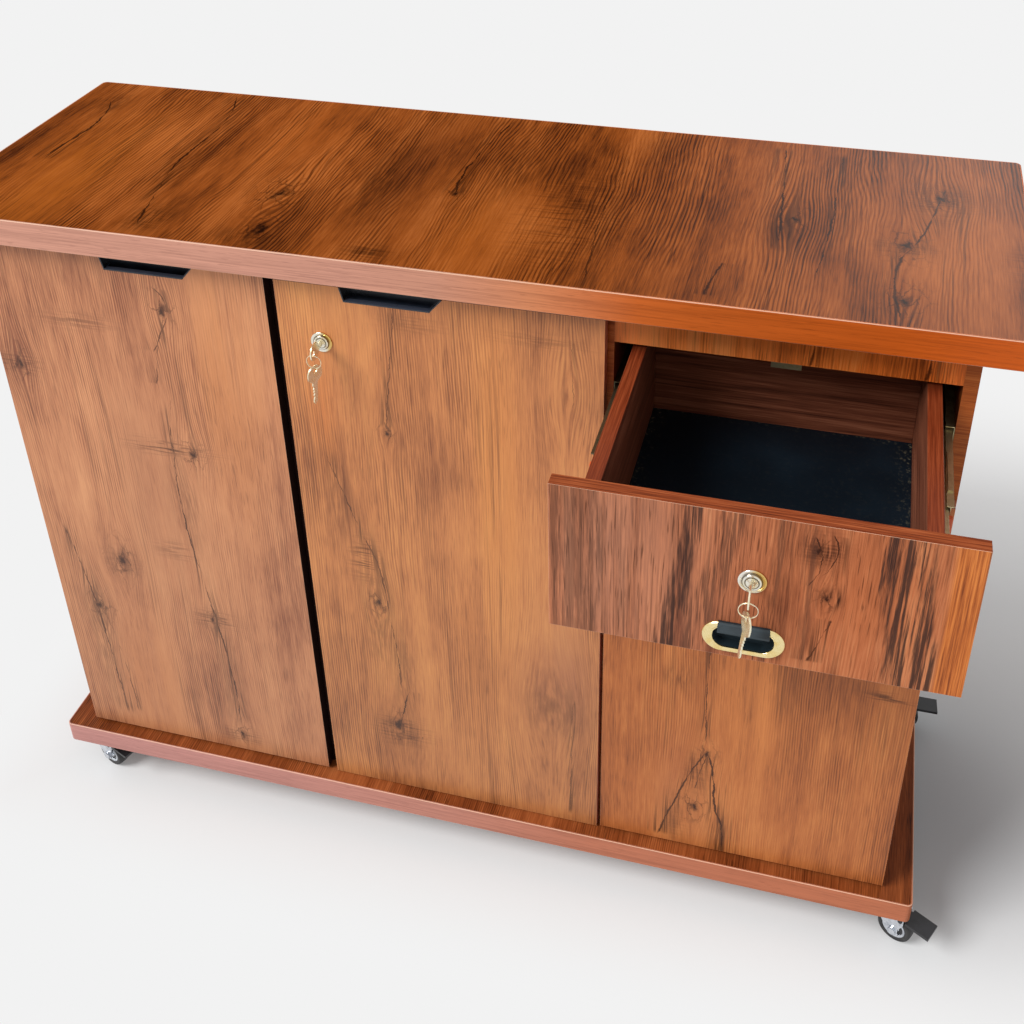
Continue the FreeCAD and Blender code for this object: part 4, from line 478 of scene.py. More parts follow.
# %% Drawer front finish
FRONT_MIDDLE = 0.87
BLUR = 0.005


def heartwood(finish, across, along, bands):
    """Dark bands that run with the grain, each from one side to the other with a lean."""
    found = []
    for left, right, lean, strength in bands:
        ragged = finish.noise((across * 150, along * 9, left * 40), 4, 0.7)
        spot = across + (along - FRONT_MIDDLE) * lean + 0.04 * (ragged - 0.5)
        band = finish.rise(spot, left - BLUR, left + BLUR)
        band = band * finish.rise(spot, right - BLUR, right + BLUR, 1.0, 0.0)
        fleck = finish.noise((across * 230, along * 7, right * 30), 4, 0.72)
        found.append(band * finish.rise(fleck, 0.4, 0.55) * strength)
    return finish.most(*found)


def drawer_front_finish():
    finish = Finish("drawer_front_wood")
    x, y, z = finish.place()
    tones = (paint(104, 54, 36), paint(178, 106, 70), paint(212, 142, 98))
    face, height, tone = wood_print(
        finish, x, z, y, tones, seed=14.0, streak=1.4, cloud=1.1, pores=0.6, lines=0.45,
        rings=0.06,
        knots=[(0.465, 0.875, 0.012), (0.452, 0.93, 0.014)],
        cracks=[([(0.452, 0.79), (0.462, 0.82), (0.47, 0.85)], 0.0024, 0.85),
                ([(0.446, 0.885), (0.455, 0.917), (0.446, 0.947)], 0.0026, 0.9),
                ([(0.456, 0.9), (0.468, 0.93), (0.462, 0.952)], 0.0024, 0.9)],
        smudges=[((0.465, 0.875), (0.0055, 0.013), 1.6, 0.0),
                 ((0.493, 0.871), (0.003, 0.005), 1.3, 0.0),
                 ((0.455, 0.93), (0.018, 0.022), 0.9, 0.3),
                 ((0.42, 0.9), (0.012, 0.04), 0.5, 0.0)],
        tints=[(paint(204, 146, 118), (0.25, 0.87), (0.1, 0.2), 0.45),
               (paint(184, 98, 52), (0.49, 0.87), (0.1, 0.12), 0.4)])
    bands = heartwood(finish, x, z, [
        (0.196, 0.25, 0.0, 0.48), (0.318, 0.336, -0.12, 0.85), (0.345, 0.37, -0.2, 0.6),
        (0.412, 0.422, -0.05, 0.5), (0.515, 0.562, 0.12, 0.88), (0.44, 0.45, 0.0, 0.5),
        (0.268, 0.274, 0.05, 0.35)])
    plain = finish.rise(x, 0.566, 0.574)
    face = finish.mix(face, paint(46, 34, 32), bands * (1 - plain))
    strip_tone = finish.noise((x * 420, z * 9, 4.0), 4, 0.65)
    orange = finish.shades(strip_tone, 0.14, paint(108, 48, 22), paint(176, 94, 42),
                           paint(214, 128, 62))
    face = finish.mix(face, orange, plain * 0.85)
    lines = finish.noise((x * 16, y * 620, z * 16), 3, 0.62)
    edge = finish.shades(lines, 0.2, paint(88, 34, 14), paint(138, 64, 31), paint(172, 92, 52))
    square = finish.facing(1)
    hairline = finish.hairline(square)
    colour = finish.mix(edge, face, finish.rise(square, *FACE_SHARE))
    colour = finish.mix(colour, PALE, hairline * 0.75)
    return finish.done(colour, 0.4 + (tone - 0.5) * 0.12, bump=height, depth=PRINT_DEPTH,
                       level=0.06)


drawer_front_wood = drawer_front_finish()
print("drawer front finish ready")

# %% [markdown]
# ## Worktop, base, carcass and drawer box
# The worktop and base board use the same print turned front to back, with more orange and darker tones than the
# doors: painted shade for their being seen at a slant. The carcass is plain brown, its top rail painted lighter
# against the worktop's shade, the drawer box red mahogany foil and its bottom a black board with dust in its
# corners.

# %% Board finishes
top_wood = board(
    "worktop_wood", 2, 0, 1, (paint(72, 31, 9), paint(141, 71, 24), paint(176, 98, 44)),
    EDGE_TONES, PALE,
    seed=21.0, rough=0.36, level=0.0, sheen=(0.1, 0.68, 0.02, 0.95), cloud=1.2, lines=0.6,
    pores=0.4, rings=0.27, ring_count=210, sway=14.0,
    knots=[(-0.235, -0.03, 0.034), (-0.252, 0.07, 0.035), (0.38, 0.143, 0.028),
           (0.511, 0.105, 0.028), (0.55, 0.24, 0.03), (-0.037, 0.12, 0.018), (0.51, -0.02, 0.026)],
    cracks=[([(-0.61, 0.092), (-0.609, 0.137), (-0.605, 0.223), (-0.644, 0.317)], 0.004, 0.9),
            ([(-0.383, -0.063), (-0.405, 0.025), (-0.426, 0.134), (-0.426, 0.25), (-0.459, 0.372)],
             0.0036, 0.9),
            ([(-0.037, 0.111), (-0.044, 0.19), (-0.037, 0.291), (-0.025, 0.366)], 0.0036, 0.9),
            ([(0.171, -0.086), (0.163, 0.0), (0.155, 0.09), (0.156, 0.247)], 0.0024, 0.75),
            ([(0.414, 0.0), (0.418, 0.049), (0.425, 0.172), (0.427, 0.353)], 0.0026, 0.85),
            ([(0.368, 0.055), (0.362, 0.2), (0.352, 0.358)], 0.0034, 0.9),
            ([(0.51, -0.07), (0.5, 0.03), (0.53, 0.14), (0.557, 0.279)], 0.0036, 0.85),
            ([(0.3, -0.06), (0.305, -0.02), (0.312, 0.02)], 0.0034, 0.85)],
    smudges=[((-0.38, -0.03), (0.03, 0.04), 0.85, 0.2), ((-0.235, -0.05), (0.05, 0.03), 0.75, 0.1),
             ((-0.14, 0.14), (0.03, 0.12), 0.6, 0.0), ((0.12, 0.09), (0.06, 0.12), 0.5, 0.9),
             ((0.55, 0.23), (0.035, 0.05), 0.75, 0.3), ((0.51, 0.1), (0.03, 0.02), 0.75, 0.3),
             ((0.66, 0.08), (0.03, 0.05), 0.7, 0.9), ((-0.62, 0.3), (0.03, 0.04), 0.6, 0.2),
             ((-0.09, -0.05), (0.03, 0.02), 0.8, 0.5), ((-0.42, 0.1), (0.02, 0.06), 0.6, 0.0),
             ((0.02, 0.2), (0.03, 0.1), 0.5, 0.0), ((0.2, 0.3), (0.03, 0.08), 0.5, 0.0)],
    tints=[(paint(172, 92, 26), (-0.55, 0.05), (0.06, 0.2), 0.55),
           (paint(166, 86, 30), (-0.3, 0.25), (0.06, 0.12), 0.5),
           (paint(168, 88, 28), (0.03, 0.02), (0.05, 0.12), 0.5),
           (paint(92, 42, 16), (-0.1, 0.18), (0.05, 0.16), 0.5)])
base_wood = board(
    "base_wood", 2, 0, 1, (paint(78, 34, 13), paint(129, 65, 30), paint(167, 94, 51)),
    EDGE_TONES, PALE,
    seed=33.0, streak=1.5, pores=0.7, rough=0.38, level=0.1)
carcass_wood = board(
    "carcass_wood", 1, 0, 2, (paint(96, 46, 16), paint(146, 76, 28), paint(176, 102, 46)),
    EDGE_TONES, paint(190, 140, 100), seed=45.0, streak=1.4, pores=0.5, level=0.15)
# painted light: the top rail takes lighter tones than the carcass, to offset the worktop's shade over it
rail_wood = board(
    "rail_wood", 1, 0, 2, (paint(150, 70, 24), paint(234, 118, 44), paint(252, 156, 78)),
    EDGE_TONES, paint(190, 140, 100), seed=46.0, streak=1.4, pores=0.5, level=0.15,
    cracks=[([(0.42, 0.93), (0.424, 0.96), (0.421, 0.985)], 0.0028, 0.85),
            ([(0.545, 0.93), (0.548, 0.96), (0.545, 0.985)], 0.004, 0.85)],
    tints=[(paint(228, 144, 84), (0.25, 0.95), (0.14, 0.2), 0.6)])


def side_finish(name, shade_until=None):
    """Uprights are seen from their sides, so their print runs over y and z; left of a given limit the edge strip
    carries painted shade.
    """
    finish = Finish(name)
    x, y, z = finish.place()
    tones = (paint(92, 44, 18), paint(140, 74, 36), paint(170, 98, 52))
    face, height, tone = wood_print(
        finish, y, z, x, tones, seed=52.0, streak=1.2, pores=0.5,
        knots=[(0.1, 0.4, 0.04), (0.25, 0.7, 0.03)],
        cracks=[([(0.1, 0.2), (0.09, 0.35), (0.11, 0.5), (0.1, 0.62)], 0.0026, 0.8),
                ([(0.26, 0.55), (0.25, 0.7), (0.27, 0.88)], 0.0026, 0.8)])
    edge = strip(finish, (paint(120, 54, 20), paint(166, 84, 34), paint(192, 110, 54)), 8.0)[0]
    # painted shade: left of the given limit the front edge strip is nearly black, standing in for the shade behind
    # the door gap
    if shade_until:
        edge = finish.mix(paint(34, 14, 11), edge, finish.rise(x, shade_until, shade_until + 0.05))
    colour = finish.mix(edge, face, finish.rise(finish.facing(0), *FACE_SHARE))
    return finish.done(colour, 0.42 + (tone - 0.5) * 0.12, bump=height, depth=PRINT_DEPTH,
                       level=0.12)


side_wood = side_finish("side_wood")
partition_wood = side_finish("partition_wood", -0.1)


def edge_finish(name, stops):
    """A strip round a board whose colour changes from its left end to its right end."""
    finish = Finish(name)
    shade = finish.ramp(finish.rise(finish.place()[0], -0.7, 0.7), *stops)
    pale_tones = (paint(200, 196, 196), paint(236, 236, 236), paint(255, 255, 255))
    marks, fine = strip(finish, pale_tones, 2.0)
    flat = finish.facing(2)
    hairline = finish.hairline(flat, (0.4, 0.55), (0.88, 0.97))
    colour = finish.mix(finish.mix(shade, marks, 1.0, "MULTIPLY"), PALE, hairline * 0.8)
    return finish.done(colour, 0.4 + (fine - 0.5) * 0.1, bump=fine, depth=0.00008, level=0.12)


top_strip = edge_finish("worktop_strip", [
    (0.0, paint(218, 158, 136)), (0.38, paint(212, 152, 130)), (0.5, paint(212, 150, 124)),
    (0.62, paint(222, 142, 98)), (0.74, paint(216, 108, 44)), (1.0, paint(206, 92, 24))])
base_strip = edge_finish("base_strip", [
    (0.0, paint(198, 140, 132)), (0.45, paint(198, 134, 116)), (0.7, paint(192, 118, 90)),
    (1.0, paint(190, 112, 78))])


def box_finish():
    """Mahogany foil of the drawer box: fine grain along each board."""
    finish = Finish("drawer_box_wood")
    x, y, z = finish.place()
    fine = finish.noise((x * 14, y * 14, z * 620), 3, 0.62)
    broad = finish.noise((x * 5, y * 5, z * 130), 2)
    top = finish.facing(2)
    lines = finish.noise((x * 700, y * 14, z * 10), 3, 0.62)
    tone = 0.5 + (fine - 0.5) * 0.8 + (broad - 0.5) * 0.6
    tone = tone * (1 - top) + (0.55 + (lines - 0.5) * 0.8) * top
    colour = finish.shades(tone, 0.25, paint(64, 32, 22), paint(118, 66, 46), paint(156, 98, 72))
    rim = finish.ramp(tone, (0.3, paint(70, 26, 12)), (0.52, paint(120, 50, 24)),
                      (0.75, paint(158, 78, 44)))
    return finish.done(finish.mix(colour, rim, top), 0.42, bump=fine, depth=0.0001, level=0.12)


def bottom_finish():
    """Black board with dust gathered along its borders."""
    finish = Finish("drawer_bottom_black")
    x, y, z = finish.place()
    lo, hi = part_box("drawer_bottom")
    side = finish.least(x - lo[0], hi[0] - x)
    end = finish.least(y - lo[1], hi[1] - y)
    border = finish.rise(finish.least(side, end), 0.004, 0.03, 1.0, 0.0)
    dust = finish.noise((x * 190, y * 190, z * 9), 5, 0.7)
    corner = finish.rise(finish.most(side, end), 0.02, 0.12, 1.0, 0.35)
    grit = finish.rise(dust, 0.52, 0.7) * (border * corner * 0.6 + 0.02)
    haze = finish.rise(finish.noise((x * 7, y * 7, 3.0), 3), 0.45, 0.75, 0.0, 0.35)
    colour = finish.mix(paint(8, 18, 26), paint(26, 42, 54), haze)
    colour = finish.mix(colour, paint(150, 140, 110), grit)
    return finish.done(colour, 0.5 + grit * 0.4, bump=dust, depth=0.0001, level=0.2)


box_wood = box_finish()
bottom_black = bottom_finish()
print("board finishes ready")

# %% [markdown]
# ## Metals and plastics
# Metal looks like metal through what it mirrors, so its own colour changes little: fine scratches and cloudy
# handling marks in its roughness do the rest. The lock rosettes carry a painted yellow reflection and painted
# shade in their grooves, and the slides painted shade on their webs.
# Each fitting has its own tone: bright nickel, chrome, cream zinc, gold, black.

# %% Fitting finishes
GROOVES = ((0.0098, 0.0007), (0.0068, 0.0006))


def metal(name, shade, worn, rough, scratch_axis=2, grain_size=900, spots=0.0, metallic=1.0,
          depth=0.000006, turned=None, rolled=False):
    """A metal with drawn lines along one axis, handling clouds and a second, worn tone."""
    finish = Finish(name)
    x, y, z = finish.place()
    stretch = [grain_size, grain_size, grain_size]
    stretch[scratch_axis] = grain_size * 0.03
    lines = finish.noise((x * stretch[0], y * stretch[1], z * stretch[2]), 2)
    clouds = finish.speckle(90, 4, 0.6)
    tone = finish.rise(clouds, 0.4, 0.65) * 0.5 + (lines - 0.5) * 0.3
    colour = finish.mix(shade, worn, finish.most(tone, 0.0))
    if spots:
        pits = finish.rise(finish.speckle(700), 0.62, 0.7)
        colour = finish.mix(colour, tuple(c * 0.4 for c in worn[:3]) + (1,), pits * spots)
    # painted reflection and painted shade on a turned front: a yellow reflection on its right side and dark rings
    # in its grooves
    if turned:
        side, up = x - turned[0], z - turned[1]
        away = finish.math("SQRT", side * side + up * up)
        groove = sum(near(finish, (away - radius) / width, 0.0) for radius, width in GROOVES)
        yellow_reflection = finish.rise(side + up * 0.3, 0.0, 0.009) * finish.rise(away, 0.0085, 0.0096)
        colour = finish.mix(colour, paint(214, 168, 44), yellow_reflection * 0.8)
        colour = finish.mix(colour, paint(70, 48, 26), finish.least(groove * 0.85, 1.0))
    # painted shade: faces that look neither up nor forward are darkened, and the left slide almost all over
    if rolled:
        unshaded_faces = finish.most(finish.facing(2), finish.facing(1))
        share = finish.rise(unshaded_faces, 0.4, 0.8) * finish.rise(x, 0.3, 0.5, 0.2, 1.0)
        colour = finish.mix(paint(48, 40, 30), colour, share)
    roughness = rough + (clouds - 0.5) * 0.2 + (lines - 0.5) * 0.12
    return finish.done(colour, roughness, metallic=metallic, bump=lines, depth=depth)


def plastic(name, shade, faded, rough, level=0.5, coat=0.0, lip=None, painted_glint=None):
    """Moulded plastic: even, with a fine orange-peel surface and faint fading, and a painted bluish highlight on
    the lip where a lip is given.
    """
    finish = Finish(name)
    peel = finish.speckle(1500, 1)
    clouds = finish.speckle(60, 4)
    dust = finish.rise(finish.speckle(500, 3), 0.6, 0.75)
    colour = finish.mix(shade, faded, finish.rise(clouds, 0.35, 0.7) * 0.5 + dust * 0.25)
    # painted highlight: a bluish glint on the lower front of the lip and on faces that look up
    if lip:
        z = finish.place()[2]
        low = finish.rise(z, lip, lip + 0.009, 1.0, 0.0) * finish.rise(finish.facing(1), 0.4, 0.8)
        top = finish.rise(finish.facing(2), 0.5, 0.9) * 0.6
        colour = finish.mix(colour, painted_glint, finish.most(low * low, top))
    return finish.done(colour, rough + (clouds - 0.5) * 0.15, bump=peel, depth=0.00003, coat=coat,
                       level=level)


def lock_chrome(lock):
    """Chrome with painted shade in its grooves and a painted yellow reflection on its right side."""
    spot = JOINTS[lock + "_lock_turn"]["pos_m"]
    return metal(lock + "_lock_chrome", paint(240, 237, 226), paint(226, 214, 176), 0.12,
                 grain_size=200, depth=0.000002, turned=(spot[0], spot[2]))


chrome = {lock: lock_chrome(lock) for lock in ("door", "drawer")}
nickel = metal("key_nickel_bright", paint(244, 236, 210), paint(232, 208, 150), 0.24,
               grain_size=1400, metallic=0.85)
hinge_nickel = metal("hinge_nickel", paint(214, 212, 206), paint(170, 168, 162), 0.26)
zinc = metal("castor_zinc_bright", paint(222, 226, 232), paint(150, 156, 166), 0.2, spots=0.3)
screw_zinc = metal("screw_zinc", paint(210, 206, 190), paint(150, 142, 118), 0.3)
slide_cream = metal("slide_cream", paint(214, 202, 160), paint(176, 160, 112), 0.36,
                    scratch_axis=1, metallic=0.8, depth=0.00002, rolled=True)
gold = metal("bezel_gold", paint(242, 222, 166), paint(230, 190, 96), 0.24, grain_size=300)
pull_black = plastic("pull_black_satin", paint(14, 17, 24), paint(28, 34, 46), 0.3, coat=0.3,
                     lip=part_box("left_door_pull")[0][2], painted_glint=paint(98, 116, 142))
insert_black = plastic("insert_black", paint(26, 38, 44), paint(44, 60, 68), 0.42)
pedal_finish = plastic("pedal_black", paint(20, 20, 22), paint(44, 44, 48), 0.4)
lever_orange = plastic("lever_orange", paint(222, 84, 30), paint(236, 120, 70), 0.4)
tyre_black = plastic("tyre_black", paint(24, 24, 26), paint(58, 56, 54), 0.55)
print("fitting finishes ready")

# %% [markdown]
# ## Floor, lamp and air
# A plain pale floor, wide enough to fill the view, keeps the sideboard's shadow, deepened right of the base by a
# painted shadow.
# One broad sun from the upper left shapes it, and an even pale sky fills the shade.
# Both are only as strong as it takes for a colour to come out as it is written.

# %% Floor
FLOOR_GLOW = 0.888


def floor_finish():
    """Matt grey near the sideboard, where shadows fall, with a painted shadow right of the base and a painted
    patch of light further back, and even white further out.
    """
    finish = Finish("floor_pale")
    x, y = finish.place()[:2]
    specks = finish.noise((x * 60, y * 60, 1.0), 3)
    # painted shadow: a soft grey patch on the floor right of the base deepens the shadow there
    painted_shadow = near(finish, (x - 0.7) / 0.16, (y - 0.18) / 0.24)
    colour = finish.mix(paint(227, 227, 227), paint(225, 225, 225), specks)
    colour = finish.mix(colour, paint(186, 188, 190), painted_shadow)
    matt = finish.node("ShaderNodeBsdfDiffuse", None, {"Color": colour})
    white = finish.node("ShaderNodeEmission", None, {
        "Color": (1, 1, 1, 1), "Strength": FLOOR_GLOW})
    front = finish.most(finish.rise(y, -0.26, 0.03, 1.0, 0.0),
                        finish.rise(x, -0.86, -0.62, 1.0, 0.0))
    back = finish.most(finish.rise(y, 0.9, 1.5), finish.rise(x, 1.7, 2.6))
    # painted light: a soft patch of the white glow, behind and right of the sideboard, lightens the far part of
    # the shadow
    haze = near(finish, (x - 0.85) / 0.3, (y - 0.75) / 0.25) * 0.16
    share = finish.most(finish.most(front, back), haze)
    return finish.ended(finish.node("ShaderNodeMixShader", None, {0: share, 1: matt, 2: white}))


def solid(name, points, faces):
    """A mesh from points and faces."""
    mesh = bpy.data.meshes.new(name)
    mesh.from_pydata([tuple(point) for point in points], [], faces)
    mesh.update()
    return mesh


def linked(name, mesh, finish=None):
    """A new object for a mesh, in the scene."""
    made = bpy.data.objects.new(name, mesh)
    bpy.context.scene.collection.objects.link(made)
    if finish:
        mesh.materials.clear()
        mesh.materials.append(finish)
    return made


floor = solid("floor", [(-12, -12, 0), (12, -12, 0), (12, 14, 0), (-12, 14, 0)], [(0, 1, 2, 3)])
floor = linked("floor", floor, floor_finish())

# %% Sun and sky
SKY_LEVEL = 0.52
SUN_LEVEL = 2.88
SKY_SEEN = 0.875
TO_SUN = Vector((-0.594, -0.446, 0.669))
sun = bpy.data.lights.new("window_sun", "SUN")
sun.energy = SUN_LEVEL
sun.angle = math.radians(28)
sun_spot = linked("window_sun", sun)
sun_spot.rotation_euler = TO_SUN.to_track_quat("Z", "Y").to_euler()

sky = bpy.data.worlds.new("studio_air")
air = Finish("studio_air", sky)
rays = [air.node("ShaderNodeLightPath", out=name)
        for name in ("Is Camera Ray", "Is Glossy Ray", "Is Transmission Ray")]
seen = air.least(rays[0] + rays[1] + rays[2], 1.0)
level = SKY_LEVEL + seen * (SKY_SEEN - SKY_LEVEL)
glow = air.node("ShaderNodeBackground", None, {"Color": (1, 1, 1, 1), "Strength": level})
air.ended(glow, "ShaderNodeOutputWorld")
bpy.context.scene.world = sky
bpy.context.scene.view_settings.view_transform = "Standard"
print("sun", SUN_LEVEL, "sky", SKY_LEVEL)

# %% [markdown]
# ## Boards with eased edges
# No real board has a knife edge: the edge strip is scraped, so each corner catches a
# thin line of light. The model's boards are copied, their loose facets joined, and a
# Bevel modifier eases only the sharp corners.

# %% Eased copies of the model's boards
BODY = {node: body for body, nodes in frame["record"]["behaviour"]["bodies"].items()
        for node in nodes}
SLOT = {node: piece.data.materials[0].name.split(".")[0] for node, piece in NODES.items()}


def cleaned(source, target, distance, flat=0.0):
    """Write a mesh to another with its points joined, flat facets merged and faces outward."""
    work = bmesh.new()
    work.from_mesh(source)
    bmesh.ops.remove_doubles(work, verts=work.verts, dist=distance)
    if flat:
        bmesh.ops.dissolve_limit(work, angle_limit=flat, verts=work.verts, edges=work.edges)
    bmesh.ops.recalc_face_normals(work, faces=work.faces)
    work.to_mesh(target)
    work.free()
    return target


def eased(name, finish, width=0.0005, segments=2, angle=40):
    """A copy of a model piece with joined facets and eased corners, standing in for it."""
    body, slot = BODY[name], SLOT[name]
    mesh = cleaned(NODES[name].data, bpy.data.meshes.new(name + "_eased"), 1e-6, math.radians(0.5))
    piece = linked(name + "_eased", mesh, finish)
    easing = piece.modifiers.new("eased corners", "BEVEL")
    easing.width = width
    easing.segments = segments
    easing.limit_method = "ANGLE"
    easing.angle_limit = math.radians(angle)
    easing.use_clamp_overlap = True
    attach(piece, body)
    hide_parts(name)


BOARDS = [
    ("worktop_panel", top_wood, 0.0003), ("base_panel", base_wood, 0.0003),
    ("worktop_edge_band", top_strip, 0.0003), ("base_edge_band", base_strip, 0.0003),
    ("side_panels", side_wood, 0.0005), ("partition_panels", partition_wood, 0.0005),
    ("back_panel", carcass_wood, 0.0005), ("top_rails", rail_wood, 0.0006),
    ("drawer_divider", carcass_wood, 0.0005), ("shelves", carcass_wood, 0.0005),
    ("left_door_panel", left_wood, 0.0008), ("middle_door_panel", middle_wood, 0.0008),
    ("lower_door_panel", lower_wood, 0.0008), ("drawer_front", drawer_front_wood, 0.0008),
    ("drawer_sides", box_wood, 0.0006), ("drawer_back", box_wood, 0.0006),
    ("drawer_packers", box_wood, 0.0006), ("drawer_bottom", bottom_black, 0.0003),
]
for node, wood, width in BOARDS:
    eased(node, wood, width)
print(len(BOARDS), "eased boards")

# %% [markdown]
# ## A hand for turned and bent pieces
# Rosettes, wheels and washers are turned on a lathe: one outline, spun round an axis.
# A modifier could spin it, but points worked out here give a closed, outward-facing
# shape at once, and the same helper serves the locks and the castors.

# %% Turned pieces
def added(name, mesh, body, finish, stands_for=(), angle=32):
    """Link a mesh as a piece with smooth sides and sharp corners, riding on a body."""
    cleaned(mesh, mesh, 1e-7)
    for face in mesh.polygons:
        face.use_smooth = True
    mesh.set_sharp_from_angle(angle=math.radians(angle))
    piece = linked(name, mesh, finish)
    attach(piece, body)
    if stands_for:
        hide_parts(*stands_for)


def quads(count, rings):
    """Faces between outlines of count points each that follow one another round in a ring."""
    faces = []
    for ring in range(rings):
        here, there = ring * count, (ring + 1) % rings * count
        for i in range(count):
            j = (i + 1) % count
            faces.append((here + i, here + j, there + j, there + i))
    return faces


def circle(steps, radius=1.0):
    turns = [2 * math.pi * i / steps for i in range(steps)]
    return [(radius * math.cos(turn), radius * math.sin(turn)) for turn in turns]


def spun(outline, centre, axis, steps=96):
    """A closed outline of (radius, along the axis) spun into a mesh."""
    axis = Vector(axis).normalized()
    side = axis.orthogonal().normalized()
    up = axis.cross(side)
    verts = [Vector(centre) + (side * x + up * y) * radius + axis * along
             for x, y in circle(steps) for radius, along in outline]
    return solid("spun", verts, quads(len(outline), steps))


def rounded(points, radius, steps=4):
    """An outline whose corners are rounded by up to the given radius."""
    smooth = []
    count = len(points)
    for i, corner in enumerate(points):
        here = Vector(corner)
        before, after = Vector(points[i - 1]), Vector(points[(i + 1) % count])
        reach = min(radius, (before - here).length * 0.45, (after - here).length * 0.45)
        start = here + (before - here).normalized() * reach
        stop = here + (after - here).normalized() * reach
        for step in range(steps + 1):
            t = step / steps
            smooth.append(tuple(start * (1 - t) ** 2 + here * 2 * t * (1 - t) + stop * t ** 2))
    return smooth


MM = 0.001
print("helpers for turned pieces ready")

# %% [markdown]
# ## Locks and their keys
# Each lock shows a turned rosette in two steps, and a plug that turns inside it.
# The rosette is spun from an outline with a rolled rim and a groove, because its
# highlights are the brightest spots on the front.
# The keys are stamped from sheet: a rounded bow with a hole and a cut blade.

# %% Rosettes and plugs
def millimetres(points):
    return [(a * MM, b * MM) for a, b in points]


KEY_CUTS = ((5, 0), (7.5, 1.9), (9.5, 0.6), (11.5, 2.4), (14, 1.2), (16.2, 2.8), (18.6, 1.5),
            (21.4, 3.0), (25, 1.8))
KEY_SIZE = (57, 25, 23, 7.6)
KEY_EDGE = 0.22 * MM
KEY_THICK, SPARE_THICK = 1.6, 1.8


def lock_front(lock):
    """Rosette, barrel and nut of one lock, spun about its axis from the board's face."""
    name = lock + "_lock_housing"
    outline = millimetres([
        (6.15, -3.55), (7.4, -3.6), (8.9, -3.35), (9.4, -2.6), (9.55, -1.75), (10.3, -1.55),
        (11.6, -1.95), (12.9, -2.15), (13.7, -1.7), (14.0, -0.9), (14.0, 0.0), (8.5, 0.0),
        (8.5, 16.0), (11.5, 16.0), (11.5, 18.4), (8.5, 18.5), (8.5, 19.4), (6.15, 19.4)])
    mesh = spun(rounded(outline, 0.35 * MM, 3), JOINTS[lock + "_lock_turn"]["pos_m"], (0, 1, 0))
    added(name + "_turned", mesh, BODY[name], chrome[lock], [name])


def key_shape(length, bow_length, bow_width, blade):
    """A key along +u with its bow at 0, as outline points in (along, across)."""
    bow = []
    for i in range(25):
        turn = math.pi * (0.5 + i / 24)
        bow.append(((1 + math.cos(turn)) * bow_length * 0.46, math.sin(turn) * bow_width / 2))
    half = blade / 2
    neck = bow_length
    cuts = [(neck + reach, -half + depth) for reach, depth in KEY_CUTS]
    cuts += [(length - 3, -half + 1.6), (length, -0.6)]
    low_side = [(bow_length * 0.72, -bow_width / 2 * 0.96), (bow_length * 0.93, -half - 2.2),
                (bow_length, -half)] + cuts
    top_side = [(length, 0.6), (length - 3.6, half), (bow_length, half),
                (bow_length * 0.93, half + 2.2), (bow_length * 0.72, bow_width / 2 * 0.96)]
    return bow + low_side + top_side


def key_mesh(origin, along, across, thickness, hole_at=7, hole_radius=3.5):
    """A stamped key: two faces with a round hole, a rim that follows the outline."""
    outer = key_shape(*KEY_SIZE)
    work = bmesh.new()
    through = Vector(along).cross(Vector(across)).normalized()

    def point(u, v, w):
        return Vector(origin) + Vector(along) * u * MM + Vector(across) * v * MM + through * w * MM

    def loop(points, w):
        verts = [work.verts.new(point(u, v, w)) for u, v in points]
        return verts, [work.edges.new((verts[i - 1], verts[i])) for i in range(len(verts))]

    hole = [(hole_at + u, v) for u, v in circle(24, hole_radius)]
    half = thickness / 2
    sides = []
    for w in (-half, half):
        rim, rim_edges = loop(outer, w)
        eye, eye_edges = loop(hole, w)
        bmesh.ops.triangle_fill(work, edges=rim_edges + eye_edges, use_beauty=True)
        sides.append((rim, eye))
    for ring in (0, 1):
        low, high = sides[0][ring], sides[1][ring]
        for i in range(len(low)):
            work.faces.new((low[i - 1], low[i], high[i], high[i - 1]))
    bmesh.ops.recalc_face_normals(work, faces=work.faces)
    sharp = [e for e in work.edges if len(e.link_faces) == 2 and e.calc_face_angle() > 1.2]
    bmesh.ops.bevel(work, geom=sharp, offset=KEY_EDGE, segments=2, affect="EDGES",
                    clamp_overlap=True)
    mesh = bpy.data.meshes.new("key")
    work.to_mesh(mesh)
    work.free()
    return mesh


for lock in ("door", "drawer"):
    lock_front(lock)
    eased(lock + "_lock_plug", chrome[lock], 0.00025, 2, 35)
    lo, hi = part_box(lock + "_lock_key")
    spot = JOINTS[lock + "_lock_turn"]["pos_m"]
    mesh = key_mesh((spot[0], lo[1], spot[2]), (0, 1, 0), (0, 0, 1), KEY_THICK)
    added(lock + "_lock_key_stamped", mesh, lock + "_lock", nickel,
          [lock + "_lock_key"], 40)
print("locks and keys made")

# %% [markdown]
# ## The split rings
# A key ring is a wire wound twice round, its ends lying side by side.
# Two plain hoops would look cast, so Geometry Nodes wind a real coil: a spiral with
# no growth, a round wire swept along it, and its sizes as named inputs.
# The spare key hangs on it, with its bow round the wire.

